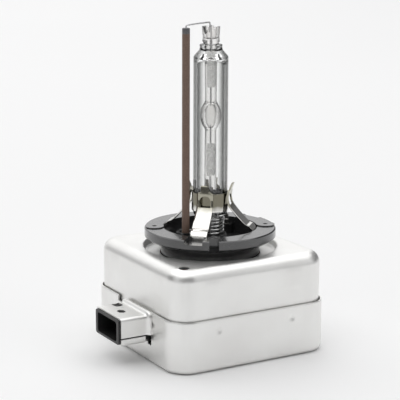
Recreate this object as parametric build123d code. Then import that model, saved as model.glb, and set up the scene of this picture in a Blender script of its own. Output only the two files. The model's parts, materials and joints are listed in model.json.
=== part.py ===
from build123d import *
import os
from math import cos, radians, sin

# A xenon discharge headlight bulb with its igniter in a metal case under the cap.
# Millimetres. Origin: centre of the case's underside, on the burner's axis.
# +Z runs up along the burner, and the connector opens towards -X.

os.makedirs("parts", exist_ok=True)

# ---- case: two drawn cans, the lower one lapping outside the upper one ----
case_width = 42.8            # outside of the lower can, square
case_corner = 5.8            # plan corner radius of the lower can
case_height = 24.5           # underside to the top plate
seam_z = 12.7                # rim of the lower can
sheet = 0.4
can_gap = 0.34               # between the lower can's wall and the upper can's skirt
bottom_round = 1.5
top_round = 2.8
detent_radius = 0.85
detent_z = 9.8
detent_offset = 10.1
detent_width = 4.0           # wider than a detent, it only trims the bump's back
pad_size = 6.0               # raised pads on the upper can's sides
pad_rise = 0.3
pad_corner = 1.2
pad_chamfer = 0.25
pad_z = 19.9
pad_offset = 11.2
vent_radius = 1.25
vent_offset = 16.7
recess_radius = 16.2
recess_depth = 1.7
recess_round = 0.3

# ---- connector on the -X side ----
shroud_width = 12.9
shroud_y = -2.45             # centre of the connector
shroud_reach = 7.6           # how far the shroud stands out of the case
shroud_bottom = 5.2
shroud_top = 12.0
hood_seam_z = 7.3            # lower rim of the hood
hood_gap = 0.35              # between the hood's rim and the tray's rim
hood_round = 0.8
tray_round = 1.0
flange_rim = 0.8             # rim of the hood's root flange around the shroud
flange_thick = 0.5
flange_round = 1.2
relief_width = 1.1           # corner relief between the tray and the can's wall
relief_drop = 2.7
relief_half = 0.48
slots = ((4.6, 4.7, 3.2, 2.2), (3.0, -0.6, 2.4, 1.7))   # from the face, from the middle, long, wide
notch_extra = 3.6            # the lower can's rim is cut back this far past the shroud
notch_depth = 1.5
insert_gap = 0.05
insert_proud = 0.5
insert_round = 0.6
socket_round = 0.7
socket_wall = 0.6
socket_side_wall = 1.1
socket_depth = 9.0
socket_floor = 2.4
pin_width = 1.5
pin_thick = 0.8
pin_pitch = 2.9
pin_reach = 4.4              # length of each pin inside the socket
pin_count = 3
pin_chamfer = 0.25
rib_width = 0.8              # polarising rib under the socket's roof
rib_height = 0.2
rib_setback = 1.2            # from the socket's mouth
rib_offset = -1.2            # from the socket's middle

# ---- cap ----
cap_radius = 16.0
cap_rise = 4.5               # the cap's top above the case's top
cap_flange = 2.9
cap_taper = 1.2
cap_taper_height = 0.8
cap_chamfer = 0.25
neck_radius = 12.1
neck_clearance = 0.2         # between the neck and the case's hole
well_radius = 11.5
well_depth = 4.1
floor_thick = 0.9
boss_radius = 2.3
boss_rise = 0.25
boss_circle = 13.6
boss_angles = (-24, 66, 155)
dimple_radius = 0.55
lug_radius = 2.3
lug_rise = 0.2
lug_bridge_half = 1.2
lug_bridge_drop = 0.6
lug_mouth = 0.6              # wall left around the funnel at the lug's top
lug_mouth_depth = 0.4
tower_wall = 1.3
tower_clearance = 0.3        # between the tower's bore and the burner's foot
tower_drop = 1.7             # the tower's top below the cap's top
tower_chamfer = 0.5
key_angle = 243
key_width = 2.3
key_floor = 0.4
key_inner = 0.5              # wall left between the key slot and the neck
rim_notch_angle = 16
rim_notch_width = 5.0
rim_notch_depth = 1.1
leg_notch_width = 4.4
leg_notch_depth = 1.0
seat_side = 0.8              # the leg's seat stands out this far past the leg
seat_depth = 0.7

# ---- clamp ----
collar_wall = 0.3
collar_rise = 4.2            # the collar's foot above the cap's top
collar_height = 4.5
collar_split = 0.6
leg_width = 4.0
leg_thick = 0.4
leg_angles = {"front": 225, "right": 315, "back": 45, "left": 135}
foot_depth = 1.8             # the leg's foot below the cap's top
leg_tip_flare = 0.9          # the tip leans out this far past the weld
leg_tip_rise = 2.4           # the tip's end above the collar's top
leg_tip_inset = 1.1
window_width = 2.3
window_rise = 1.7            # the window's sill above the collar's foot
window_height = 1.6

# ---- burner ----
light_height = 27.1          # from the reference bosses to the light centre
envelope_radius = 4.2
envelope_wall = 0.9
envelope_below = 24.15       # from the light centre down to the jacket's foot
envelope_above = 14.15       # and up to the jacket's shoulder
shoulder_height = 1.6
fused_radius = 2.8
fused_reach = 3.1            # the fused neck above the jacket's shoulder
fused_foot = 2.2             # the jacket's lowest end above the arc tube's
stem_radius = 1.55
stub_radius = 2.1
stub_wall = 0.8
stub_flare = 0.15
stub_lip = 1.6
stub_drop = 2.6              # the arc tube's foot below the cap's top
stub_height = 3.9
stub_floor = 0.6
flute_turns = (20, 200)
flute_width = 1.5
flute_depth = 2.0
vessel_radius = 2.55
vessel_length = 7.1
chamber_radius = 1.35
chamber_length = 5.6
arc_gap = 4.2
electrode_radius = 0.14
electrode_length = 4.6
foil_width = 1.7
foil_thick = 0.1
foil_length = 8.0
lead_radius = 0.2
lead_proud = 0.3             # the upper lead above the stub
seal_gap = 0.02
weld_gap = 0.01              # between wires that are welded side by side
coil_wire = 0.33             # radius of the contact spring's wire
coil_pitch = 0.95
coil_clearance = 0.12

# ---- return lead beside the burner ----
rod_radius = 8.7
rod_angle = 197.4
sleeve_radius = 0.93
sleeve_bore = 0.3
sleeve_seat = 0.5            # the sleeve's foot above the well's floor
sleeve_drop = 1.2            # the sleeve's top below the stub's top
tip_height = 1.4
tip_chamfer = 0.3
wire_radius = 0.2
wire_arch = 1.2              # the wire's arch above the stub's top
wire_slope = 0.2
wire_weld = 1.4              # how far the wire runs down beside the upper lead
wire_bends = (0.9, 0.55)
wire_drop = 2.0              # the wire's lower end below the igniter's rim
wire_clearance = 0.3         # around the wire in the igniter's lid

# ---- igniter inside the case ----
running_gap = 0.05
overlap = 0.1                # how far joined features of one piece reach into each other
housing_wall = 1.2
housing_gap = 0.35
lid_thick = 1.8
lid_chamfer = 0.5
gasket_height = 0.8
gasket_inset = 0.8
housing_corner = 4.4
core_radius = 3.0
core_length = 29.0
bobbin_y = 9.6
bobbin_x = 1.0
bobbin_z = 10.6
bobbin_barrel = 4.3
bobbin_flange_radius = 7.4
bobbin_flange = 0.9
chamber_pitch = 4.2
chamber_count = 6
winding_radius = 6.8
primary_radius = 5.4
strip_thick = 0.6
strip_width = 2.2
strip_lap = 0.3              # how far a strip runs under an upright tab
post_half = 1.0              # half width of the return strip's post
post_drop = 0.4
foot_half = 3.5              # half width of the bobbin's feet
core_chamfer = 0.4
winding_spare = 0.05
terminal_radius = 1.3
terminal_depth = 1.6         # the high-voltage cup below the igniter's rim
arm_drop = 1.0
lead_grip = 0.01             # between the cup and the burner's lower lead
gap_place = (-11.0, -13.4)   # spark gap, above the housing's floor
gap_radius = 4.0
gap_wall = 1.0
gap_length = 5.0
gap_cap = 0.8
gap_lift = 0.1
gap_nose = 1.8
film_size = (13.0, 7.0, 11.0)
film_place = (7.0, -13.6)
film_lift = 1.0
film_round = 0.8
film_lead_pitch = 10.0
film_lead_radius = 0.35
resistor_place = (7.0, -8.6)
resistor_lift = 1.6
resistor_radius = 1.2
resistor_length = 6.0
resistor_round = 0.4
resistor_lead = 2.2
resistor_wire = 0.3
choke_place = (11.5, -3.6)
choke_radius = 3.6
choke_height = 9.0
choke_flange = 1.0
choke_barrel = 2.0
choke_winding_inset = 0.4
pin_drop_x = -13.6           # where the pins' tails stand on the lead frame

half_case = case_width / 2
floor_top = sheet + running_gap
upper_half = half_case - sheet - can_gap
upper_corner = case_corner - sheet - can_gap
recess_floor = case_height - recess_depth
hole_radius = neck_radius + neck_clearance
lid_top = recess_floor - sheet - gasket_height
housing_top = lid_top - lid_thick
cap_top = case_height + cap_rise
flange_bottom = cap_top - cap_flange
well_floor = cap_top - well_depth
tower_top = cap_top - tower_drop
tower_bore = fused_radius + tower_clearance
tower_radius = tower_bore + tower_wall
foot_bottom = cap_top - foot_depth
light_centre = cap_top + boss_rise + light_height
envelope_bottom = light_centre - envelope_below
envelope_top = light_centre + envelope_above
stub_bottom = cap_top - stub_drop
fused_top = envelope_top + fused_reach
stub_base = fused_top + 0.1
stub_top = stub_base + stub_height
collar_bottom = cap_top + collar_rise
collar_radius = envelope_radius + running_gap + collar_wall
weld_radius = collar_radius + running_gap
window_bottom = collar_bottom + window_rise
sleeve_bottom = well_floor + sleeve_seat
sleeve_top = stub_top - sleeve_drop
wire_top = stub_top + wire_arch
wire_end = housing_top - wire_drop
housing_half = upper_half - sheet - housing_gap
housing_floor_top = floor_top + housing_wall
cavity_half = housing_half - housing_wall
shroud_face = -half_case - shroud_reach
insert_face = shroud_face - insert_proud
socket_back = insert_face + socket_depth
insert_back = socket_back + socket_floor
rod_x = rod_radius * cos(radians(rod_angle))
rod_y = rod_radius * sin(radians(rod_angle))
strip_z = housing_floor_top
strip_top = strip_z + strip_thick
contact_top = well_floor - floor_thick
cup_floor = contact_top - terminal_depth
lead_start = arc_gap / 2 + electrode_length + foil_length
bobbin_length = chamber_pitch * chamber_count + bobbin_flange
film_bottom = strip_top + film_lift
resistor_z = strip_top + resistor_lift
gap_z = strip_top + gap_radius + gap_lift


def block(low, high):
    """A box between two corners."""
    size = [b - a for a, b in zip(low, high)]
    middle = [(a + b) / 2 for a, b in zip(low, high)]
    return Pos(*middle) * Box(*size)


def rounded_prism(half, corner, bottom, top):
    """A square prism on the burner's axis with rounded plan corners."""
    outline = RectangleRounded(2 * half, 2 * half, corner)
    return Pos(0, 0, bottom) * extrude(outline, amount=top - bottom)


def rod(radius, low, high):
    """A cylinder between two heights on the burner's axis."""
    return Pos(0, 0, (low + high) / 2) * Cylinder(radius, high - low)


def tube(outer, inner, low, high):
    """A hollow cylinder between two heights on the burner's axis."""
    return rod(outer, low, high) - rod(inner, low, high)


def turned(points):
    """A solid of revolution about Z from (radius, height) points."""
    outline = Polyline(*[(r, 0, z) for r, z in points], close=True)
    return revolve(make_face(outline), Axis.Z)


def turn_z(shape, angle):
    """The shape turned about the burner's axis."""
    return Rot(0, 0, angle) * shape


def top_edges(shape):
    return shape.edges().group_by(Axis.Z)[-1]


def bottom_edges(shape):
    return shape.edges().group_by(Axis.Z)[0]


def save(shape, name):
    """Write one sub-part as its own STEP file."""
    export_step(shape, f"parts/{name}.step")


def shroud_block(low_x, high_x, low_z, high_z, inset=0.0):
    """A box across the connector's width, drawn in by an inset on each side."""
    low_y = shroud_y - shroud_width / 2 + inset
    high_y = shroud_y + shroud_width / 2 - inset
    return block((low_x, low_y, low_z), (high_x, high_y, high_z))


def on_each_side(shape, offset):
    """Copies of a -Y side feature at both offsets, on the four sides of the case."""
    copies = [turn_z(Pos(shift, 0, 0) * shape, turn)
              for turn in (0, 90, 180, 270) for shift in (-offset, offset)]
    return copies


def lower_can():
    """Open-topped drawn can with the connector's lower tray drawn out of it."""
    shell = fillet(bottom_edges(rounded_prism(half_case, case_corner, 0, seam_z)), bottom_round)
    inner_half = half_case - sheet
    inner = rounded_prism(inner_half, case_corner - sheet, sheet, seam_z + 1)
    shell -= fillet(bottom_edges(inner), bottom_round - sheet)

    tray = shroud_block(shroud_face, -half_case + sheet / 2, shroud_bottom,
                        hood_seam_z - hood_gap)
    outer_edges = tray.edges().filter_by(Axis.X).group_by(Axis.Z)[0]
    shell += fillet(outer_edges, tray_round)

    detent = Pos(0, -inner_half, detent_z) * Sphere(detent_radius)
    pocket = Pos(0, -half_case - 0.1, detent_z) * Sphere(detent_radius * 0.8)
    reach = block((-detent_width / 2, -inner_half, 0),
                  (detent_width / 2, -inner_half + can_gap, seam_z))
    for bump in on_each_side(detent & reach, detent_offset):
        shell += bump
    for hollow_out in on_each_side(pocket, detent_offset):
        shell -= hollow_out

    hollow_back = -half_case + 2 * sheet
    hollow = shroud_block(shroud_face - 1, hollow_back, shroud_bottom + sheet, hood_seam_z + 1, sheet)
    shell -= hollow
    shell -= shroud_block(-half_case - 1, hollow_back, hood_seam_z, seam_z + 1, -insert_gap)
    for side in (-1, 1):
        edge_y = shroud_y + side * shroud_width / 2
        shell -= block((-half_case - relief_width, edge_y - relief_half, hood_seam_z - relief_drop),
                       (hollow_back, edge_y + relief_half, hood_seam_z + 1))
    notch_end = shroud_y + shroud_width / 2 + notch_extra
    notch_start = shroud_y - shroud_width / 2 - insert_gap
    shell -= block((-half_case - 1, notch_start, seam_z - notch_depth),
                   (hollow_back, notch_end, seam_z + 1))
    return shell


def upper_can():
    """Drawn cover with a dished recess for the cap and the connector's hood."""
    shell = fillet(top_edges(rounded_prism(upper_half, upper_corner, hood_seam_z, case_height)),
                   top_round)
    inner = rounded_prism(upper_half - sheet, upper_corner - sheet, hood_seam_z - 1,
                          case_height - sheet)
    shell -= fillet(top_edges(inner), top_round - sheet)

    dish = rod(recess_radius, recess_floor, case_height + 1)
    shell += rod(recess_radius + sheet, recess_floor - sheet, case_height)
    shell -= dish
    shell -= rod(hole_radius, 0, case_height)
    rim = [edge for edge in shell.edges().filter_by(GeomType.CIRCLE).group_by(Axis.Z)[-1]
           if abs(edge.radius - recess_radius) < 0.01]
    shell = fillet(rim, recess_round)

    pad = Pos(0, -upper_half, pad_z) * Box(pad_size, 2 * pad_rise, pad_size)
    pad = fillet(pad.edges().filter_by(Axis.Y), pad_corner)
    pad = chamfer(pad.faces().sort_by(Axis.Y)[0].edges(), pad_chamfer)
    hollow = Pos(0, -upper_half + sheet, pad_z) * Box(
        pad_size - 2 * sheet, 2 * pad_rise, pad_size - 2 * sheet)
    for raised in on_each_side(pad, pad_offset):
        shell += raised
    for sunk in on_each_side(hollow, pad_offset):
        shell -= sunk
    shell -= Pos(-vent_offset, -vent_offset, case_height) * Cylinder(vent_radius, 4 * sheet)

    hood = shroud_block(shroud_face, -upper_half + sheet / 2, hood_seam_z, shroud_top)
    hood_edges = hood.edges().filter_by(Axis.X).group_by(Axis.Z)[-1]
    shell += fillet(hood_edges, hood_round)
    flange_front = -half_case - flange_thick
    flange = shroud_block(flange_front, -half_case, hood_seam_z, shroud_top + flange_rim, -flange_rim)
    flange_edges = flange.edges().filter_by(Axis.X).group_by(Axis.Z)[-1]
    shell += fillet(flange_edges, flange_round)
    hollow_back = -upper_half + 2 * sheet
    shell -= shroud_block(shroud_face - 1, hollow_back, hood_seam_z - 1, shroud_top - sheet, sheet)
    for from_face, from_middle, long_side, wide in slots:
        cutter = extrude(SlotOverall(long_side, wide, rotation=90), amount=2 * sheet, both=True)
        shell -= Pos(shroud_face + from_face, shroud_y + from_middle, shroud_top) * cutter
    return shell


def connector_housing():
    """Moulded socket that fills the shroud and reaches into the case."""
    inset = sheet + insert_gap
    body = shroud_block(insert_face, insert_back, shroud_bottom + inset, shroud_top - inset, inset)
    body = fillet(body.edges().filter_by(Axis.X), insert_round)
    side = inset + socket_side_wall
    socket = shroud_block(insert_face - 1, socket_back, shroud_bottom + inset + socket_wall,
                          shroud_top - inset - socket_wall, side)
    body -= fillet(socket.edges().filter_by(Axis.X), socket_round)
    roof = shroud_top - inset - socket_wall
    rib_y = shroud_y + rib_offset
    body += block((insert_face + rib_setback, rib_y - rib_width / 2, roof - rib_height),
                  (socket_back, rib_y + rib_width / 2, roof + socket_wall / 2))
    for pin_y in pin_places():
        body -= pin_blade(pin_y, seal_gap, insert_back + 1)
    return body


def pin_places():
    first = shroud_y - pin_pitch * (pin_count - 1) / 2
    return [first + pin_pitch * step for step in range(pin_count)]


def pin_blade(pin_y, grow, end_x):
    """One blade from its tip in the socket to an end inside the case."""
    pin_z = (shroud_bottom + shroud_top) / 2
    half_w = pin_width / 2 + grow
    half_t = pin_thick / 2 + grow
    return block((socket_back - pin_reach, pin_y - half_w, pin_z - half_t),
                 (end_x, pin_y + half_w, pin_z + half_t))


def connector_pin(pin_y):
    """Blade with a chamfered tip and a tail bent down onto its lead-frame strip."""
    pin_z = (shroud_bottom + shroud_top) / 2
    blade = pin_blade(pin_y, 0.0, pin_drop_x)
    blade = chamfer(blade.faces().sort_by(Axis.X)[0].edges(), pin_chamfer)
    tail = block((pin_drop_x - pin_thick, pin_y - pin_width / 2, strip_top),
                 (pin_drop_x, pin_y + pin_width / 2, pin_z + pin_thick / 2))
    return blade + tail


def cap_ring():
    """Moulded cap: keyed flange, neck into the case, well, tower and sleeve guide."""
    taper_z = flange_bottom + cap_taper_height
    profile = [(well_radius, lid_top), (neck_radius, lid_top), (neck_radius, flange_bottom),
               (cap_radius - cap_taper, flange_bottom), (cap_radius, taper_z),
               (cap_radius, cap_top - cap_chamfer), (cap_radius - cap_chamfer, cap_top),
               (well_radius, cap_top)]
    body = turned(profile)
    body += tube(well_radius + overlap, tower_radius - overlap, contact_top, well_floor)
    body += turned([(tower_bore, contact_top), (tower_radius, contact_top),
                    (tower_radius, tower_top - tower_chamfer),
                    (tower_radius - tower_chamfer, tower_top), (tower_bore, tower_top)])
    key = rim_cut(neck_radius + key_inner, key_width, flange_bottom + key_floor)
    body -= turn_z(key, key_angle)
    rim_notch = rim_cut(cap_radius - rim_notch_depth, rim_notch_width, flange_bottom - 1)
    body -= turn_z(rim_notch, rim_notch_angle)
    leg_notch = rim_cut(well_radius - overlap, leg_notch_width, cap_top - leg_notch_depth)
    body -= turn_z(leg_notch, leg_angles["front"])

    seat_inner = foot_radius() - leg_thick - running_gap - seat_depth
    seat_half = leg_width / 2 + seat_side
    seat = block((seat_inner, -seat_half, well_floor - overlap),
                 (well_radius + overlap, seat_half, foot_bottom))
    for angle in leg_angles.values():
        body += turn_z(seat, angle)
    boss = Pos(boss_circle, 0, cap_top + boss_rise / 2) * Cylinder(boss_radius, boss_rise)
    dimple = Pos(boss_circle, 0, cap_top + boss_rise) * Sphere(dimple_radius)
    for angle in boss_angles:
        body += turn_z(boss, angle)
        body -= turn_z(dimple, angle)

    lug_top = cap_top + lug_rise
    body += beside_burner(rod(lug_radius, contact_top, lug_top))
    body += turn_z(block((rod_radius, -lug_bridge_half, well_floor - overlap),
                         (well_radius + overlap, lug_bridge_half, cap_top - lug_bridge_drop)),
                   rod_angle)
    body -= beside_burner(rod(sleeve_radius + running_gap, sleeve_bottom, lug_top + 1))
    body -= beside_burner(rod(wire_radius + running_gap, 0, cap_top))
    body -= beside_burner(rod(lug_radius - lug_mouth, lug_top - lug_mouth_depth, lug_top + 1))
    return body


def rim_cut(inner, width, floor_z):
    """A slot through the flange's rim, open upwards and outwards."""
    return block((inner, -width / 2, floor_z), (cap_radius + 1, width / 2, cap_top + 1))


def beside_burner(shape):
    """A piece on the burner's axis moved to the return wire's place."""
    return Pos(rod_x, rod_y, 0) * shape


def foot_radius():
    """Outer face of a flat foot whose corners just clear the well's round wall."""
    return (well_radius ** 2 - (leg_width / 2) ** 2) ** 0.5 - running_gap


def clamp_leg(angle):
    """Bent sheet leg from its foot in the cap to the weld on the collar."""
    foot_r = foot_radius()
    weld_r = weld_radius + leg_thick
    collar_top = collar_bottom + collar_height
    tip_top = collar_top + leg_tip_rise
    points = [(foot_r, foot_bottom), (foot_r, cap_top - 0.2), (foot_r - 0.9, cap_top + 0.95),
              (foot_r - 1.97, cap_top + 1.4), (weld_r + 1.6, collar_bottom + 0.1),
              (weld_r + 0.3, collar_bottom + 1.7), (weld_r, collar_bottom + 3.4),
              (weld_r, collar_top - 0.4), (weld_r + leg_tip_flare, tip_top)]
    inside = offset_path(points, leg_thick)
    outline = Polyline(*[(r, 0, z) for r, z in points + inside[::-1]], close=True)
    strip = extrude(make_face(outline), amount=leg_width / 2, both=True)
    cut = 3 * leg_thick
    window = block((weld_radius - cut, -window_width / 2, window_bottom),
                   (weld_r + cut, window_width / 2, window_bottom + window_height))
    arch = Pos(weld_radius, 0, window_bottom + window_height) * Rot(0, 90, 0) * Cylinder(
        window_width / 2, 2 * cut)
    strip -= window + arch
    tip = block((0, -leg_width / 2, collar_top + leg_thick),
                (foot_r, -leg_width / 2 + leg_tip_inset, tip_top + 1))
    strip -= tip
    strip -= mirror(tip, Plane.XZ)
    return turn_z(strip, angle)


def offset_path(points, distance):
    """The same path moved towards the axis by a sheet's thickness."""
    moved = []
    for index, (r, z) in enumerate(points):
        before = points[max(index - 1, 0)]
        after = points[min(index + 1, len(points) - 1)]
        run_r = after[0] - before[0]
        run_z = after[1] - before[1]
        length = (run_r ** 2 + run_z ** 2) ** 0.5
        moved.append((r - distance * run_z / length, z + distance * run_r / length))
    return moved


def clamp_collar():
    """Split metal band around the burner."""
    inner = collar_radius - collar_wall
    band = tube(collar_radius, inner, collar_bottom, collar_bottom + collar_height)
    return band - block((0, -collar_split / 2, collar_bottom - 1),
                        (collar_radius + 1, collar_split / 2, collar_bottom + collar_height + 1))


def outer_envelope():
    """Closed quartz jacket, fused down onto the arc tube's stems at both ends."""
    inner_r = envelope_radius - envelope_wall
    bore = stem_radius + seal_gap
    foot = stub_bottom + fused_foot
    outer = [(bore, foot), (fused_radius, foot),
             (fused_radius, envelope_bottom - 0.6), (envelope_radius - 0.5, envelope_bottom),
             (envelope_radius, envelope_bottom + 0.7), (envelope_radius, envelope_top - 0.7),
             (envelope_radius - 0.35, envelope_top), (fused_radius + 0.5, envelope_top + 0.9),
             (fused_radius, envelope_top + shoulder_height), (fused_radius, fused_top),
             (bore, fused_top)]
    body = turned(outer)
    cavity = [(bore, envelope_bottom + envelope_wall), (inner_r, envelope_bottom + 2 * envelope_wall),
              (inner_r, envelope_top - 1.2), (bore, envelope_top - 0.2)]
    axis_side = [(0, cavity[0][1]), *cavity, (0, cavity[-1][1])]
    return body - turned(axis_side)


def arc_tube():
    """Quartz stems and discharge vessel, with the seals' bores and the open stub."""
    stem = rod(stem_radius, stub_bottom, stub_base + stub_floor / 2)
    vessel = scaled_ball(vessel_radius, vessel_length / 2)
    stub = turned([(0, stub_base), (stub_radius, stub_base), (stub_radius, stub_top - stub_lip),
                   (stub_radius + stub_flare, stub_top), (0, stub_top)])
    body = stem + vessel + stub
    body -= rod(stub_radius - stub_wall, stub_base + stub_floor, stub_top + 1)
    for turn in flute_turns:
        body -= Pos(0, 0, stub_top + 0.2) * Rot(0, 0, turn) * wedge_cut()
    body -= scaled_ball(chamber_radius, chamber_length / 2)
    for side in (-1, 1):
        body -= electrode(side, seal_gap)
        body -= foil(side, seal_gap)
    bore = lead_radius + seal_gap
    body -= rod(bore, light_centre + lead_start, stub_top)
    body -= rod(bore, stub_bottom - 1, light_centre - lead_start)
    return body


def wedge_cut():
    """V-shaped notch across one wall of the open stub."""
    half = flute_width / 2
    outline = Polyline((0, -half, 0), (0, half, 0), (0, 0, -flute_depth), close=True)
    return extrude(make_face(outline), amount=stub_radius + 1, dir=(1, 0, 0))


def scaled_ball(radius, half_length):
    """An ellipsoid of revolution at the light centre."""
    arc = EllipticalCenterArc((0, 0), radius, half_length, start_angle=-90, arc_size=180)
    face = make_face(arc + Line(arc @ 1, arc @ 0))
    return Pos(0, 0, light_centre) * revolve(Plane.XZ * face, Axis.Z)


def along_axis(side, start, length, make):
    """A piece between two distances from the light centre, above or below it."""
    low = light_centre + side * start
    high = light_centre + side * (start + length)
    return make(min(low, high), max(low, high))


def electrode(side, grow=0.0):
    """Tungsten pin from the arc gap out to its foil."""
    return along_axis(side, arc_gap / 2, electrode_length,
                      lambda low, high: rod(electrode_radius + grow, low, high))


def foil(side, grow=0.0):
    """Molybdenum sealing foil between the electrode and the lead."""
    half_t = foil_thick / 2 + grow
    half_w = foil_width / 2 + grow
    start = arc_gap / 2 + electrode_length
    return along_axis(side, start, foil_length,
                      lambda low, high: block((-half_w, -half_t, low - grow),
                                              (half_w, half_t, high + grow)))


def upper_lead():
    return rod(lead_radius, light_centre + lead_start + seal_gap, stub_top + lead_proud)


def lower_lead():
    """Lead out of the burner's foot, down into the igniter's cup."""
    return rod(lead_radius, cup_floor, light_centre - lead_start - seal_gap)


def return_wire():
    """Wire welded beside the upper lead, arched over to the sleeve and down through it."""
    weld = lead_radius + wire_radius + weld_gap
    side_x = weld * cos(radians(rod_angle))
    side_y = weld * sin(radians(rod_angle))
    arch = wire_top - wire_radius
    low = (side_x, side_y, stub_top - wire_weld)
    path = FilletPolyline(low, (side_x, side_y, arch), (rod_x, rod_y, arch - wire_slope),
                          (rod_x, rod_y, wire_end), radius=list(wire_bends))
    profile = Plane(origin=low, z_dir=(0, 0, 1)) * Circle(wire_radius)
    return sweep(profile, path=path)


def ceramic_sleeve():
    bore = wire_radius + sleeve_bore
    return beside_burner(tube(sleeve_radius, bore, sleeve_bottom, sleeve_top))


def sleeve_tip():
    """Glaze plug that closes the sleeve's top around the wire."""
    bore = wire_radius + seal_gap
    tip_top = sleeve_top + tip_height
    return beside_burner(turned([(bore, sleeve_top), (sleeve_radius, sleeve_top),
                                 (sleeve_radius, tip_top - tip_chamfer),
                                 (sleeve_radius - tip_chamfer, tip_top), (bore, tip_top)]))


def spring_coil():
    """Open coil around the burner's foot, standing on the cap's tower."""
    free_height = envelope_bottom - 0.6 - tower_top - 2 * coil_wire - 3 * running_gap
    path = Helix(pitch=coil_pitch, height=free_height,
                 radius=fused_radius + coil_wire + coil_clearance)
    profile = Plane(origin=path @ 0, z_dir=path % 0) * Circle(coil_wire)
    coil = sweep(profile, path=path, is_frenet=True)
    return Pos(0, 0, tower_top + coil_wire + running_gap) * coil


def case_gasket():
    return tube(recess_radius - gasket_inset, neck_radius + running_gap, lid_top,
                recess_floor - sheet)


def igniter_housing():
    """Open plastic tray that holds the igniter's parts, with a window for the socket."""
    body = rounded_prism(housing_half, housing_corner, floor_top, housing_top)
    body -= rounded_prism(cavity_half, housing_corner - housing_wall, housing_floor_top,
                          housing_top + 1)
    body -= shroud_block(-housing_half - 1, -cavity_half + overlap, shroud_bottom + sheet,
                         shroud_top - sheet, sheet)
    return body


def housing_lid():
    """Flat lid with passages for the high-voltage terminal and the return wire."""
    body = rounded_prism(housing_half, housing_corner, housing_top, lid_top)
    body = chamfer(top_edges(body), lid_chamfer)
    body -= rod(terminal_radius + running_gap, 0, case_height)
    body -= beside_burner(rod(wire_radius + wire_clearance, 0, case_height))
    return body


def hv_terminal():
    """Cup that grips the burner's lower lead, with an arm to the secondary winding."""
    grip = lead_radius + lead_grip
    cup = rod(terminal_radius, housing_top - terminal_depth, contact_top)
    cup -= rod(grip, cup_floor, contact_top + 1)
    arm_top = housing_top - arm_drop
    link_x = bobbin_x - chamber_pitch / 2
    low_x = link_x - strip_width / 2
    high_x = link_x + strip_width / 2
    arm = block((low_x, 0, arm_top - strip_thick), (high_x, bobbin_y, arm_top))
    link_bottom = bobbin_z + winding_radius + running_gap
    link = block((low_x, bobbin_y - strip_width, link_bottom), (high_x, bobbin_y, arm_top))
    return cup + (arm - rod(grip, 0, case_height)) + link


def bobbin_axis(shape):
    """Lay a piece turned about Z along X at the transformer's place."""
    return Pos(bobbin_x, bobbin_y, bobbin_z) * Rot(0, 90, 0) * shape


def ferrite_core():
    ends = Cylinder(core_radius, core_length).edges().filter_by(GeomType.CIRCLE)
    return bobbin_axis(chamfer(ends, core_chamfer))


def transformer_bobbin():
    """Chambered bobbin: a barrel and evenly spaced flanges."""
    length = bobbin_length
    body = Cylinder(bobbin_barrel, length) - Cylinder(core_radius + running_gap, length)
    for step in range(chamber_count + 1):
        place = -length / 2 + bobbin_flange / 2 + step * chamber_pitch
        disc = Cylinder(bobbin_flange_radius, bobbin_flange)
        disc -= Cylinder(core_radius + running_gap, bobbin_flange)
        body += Pos(0, 0, place) * disc
    body = bobbin_axis(body)
    for end in (-1, 1):
        foot_x = bobbin_x + end * (length / 2 - bobbin_flange / 2)
        foot = block((foot_x - bobbin_flange / 2, bobbin_y - foot_half, housing_floor_top),
                     (foot_x + bobbin_flange / 2, bobbin_y + foot_half, bobbin_z - bobbin_barrel))
        body += foot
    return body


def chamber_ring(step, outer):
    """Winding that fills one chamber of the bobbin up to a radius."""
    room = chamber_pitch - bobbin_flange
    width = room - 2 * winding_spare
    place = -bobbin_length / 2 + bobbin_flange + room / 2 + step * chamber_pitch
    ring = Cylinder(outer, width) - Cylinder(bobbin_barrel + winding_spare, width)
    return bobbin_axis(Pos(0, 0, place) * ring)


def secondary_winding():
    return Compound(children=[chamber_ring(step, winding_radius)
                              for step in range(1, chamber_count)])


def primary_winding():
    return chamber_ring(0, primary_radius)


def at_spark_gap(shape):
    """Lay a piece turned about Z along X at the spark gap's place."""
    return Pos(*gap_place, gap_z) * Rot(0, 90, 0) * shape


def spark_gap_tube():
    """Ceramic barrel of the gas-filled spark gap."""
    return at_spark_gap(Cylinder(gap_radius, gap_length)
                        - Cylinder(gap_radius - gap_wall, gap_length))


def spark_gap_electrodes():
    """Two end caps, each with a blunt electrode reaching inside the barrel."""
    caps = []
    for end in (-1, 1):
        nose = Pos(0, 0, -end * (gap_cap + gap_nose) / 2) * Cylinder(gap_nose, gap_nose)
        cap = Cylinder(gap_radius, gap_cap) + nose
        caps.append(at_spark_gap(Pos(0, 0, end * (gap_length + gap_cap) / 2) * cap))
    return Compound(children=caps)


def ignition_capacitor():
    """Film capacitor in a boxed case with rounded edges."""
    body = Pos(*film_place, film_bottom + film_size[2] / 2) * Box(*film_size)
    return fillet(body.edges().filter_by(Axis.Z), film_round)


def capacitor_leads():
    lead = Pos(*film_place, 0) * rod(film_lead_radius, strip_top, film_bottom)
    return Compound(children=[Pos(side * film_lead_pitch / 2, 0, 0) * lead for side in (-1, 1)])


def bleeder_resistor():
    body = Cylinder(resistor_radius, resistor_length)
    body = fillet(body.edges().filter_by(GeomType.CIRCLE), resistor_round)
    return Pos(*resistor_place, resistor_z) * Rot(0, 90, 0) * body


def resistor_leads():
    """Straight leads with tails bent down onto the strips."""
    leads = []
    for end in (-1, 1):
        reach = end * (resistor_length + resistor_lead) / 2
        run = Pos(reach, 0, resistor_z) * Rot(0, 90, 0) * Cylinder(resistor_wire, resistor_lead)
        tail_x = end * (resistor_length / 2 + resistor_lead - resistor_wire)
        tail = Pos(tail_x, 0, 0) * rod(resistor_wire, strip_top, resistor_z)
        leads.append(Pos(*resistor_place, 0) * (run + tail))
    return Compound(children=leads)


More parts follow.
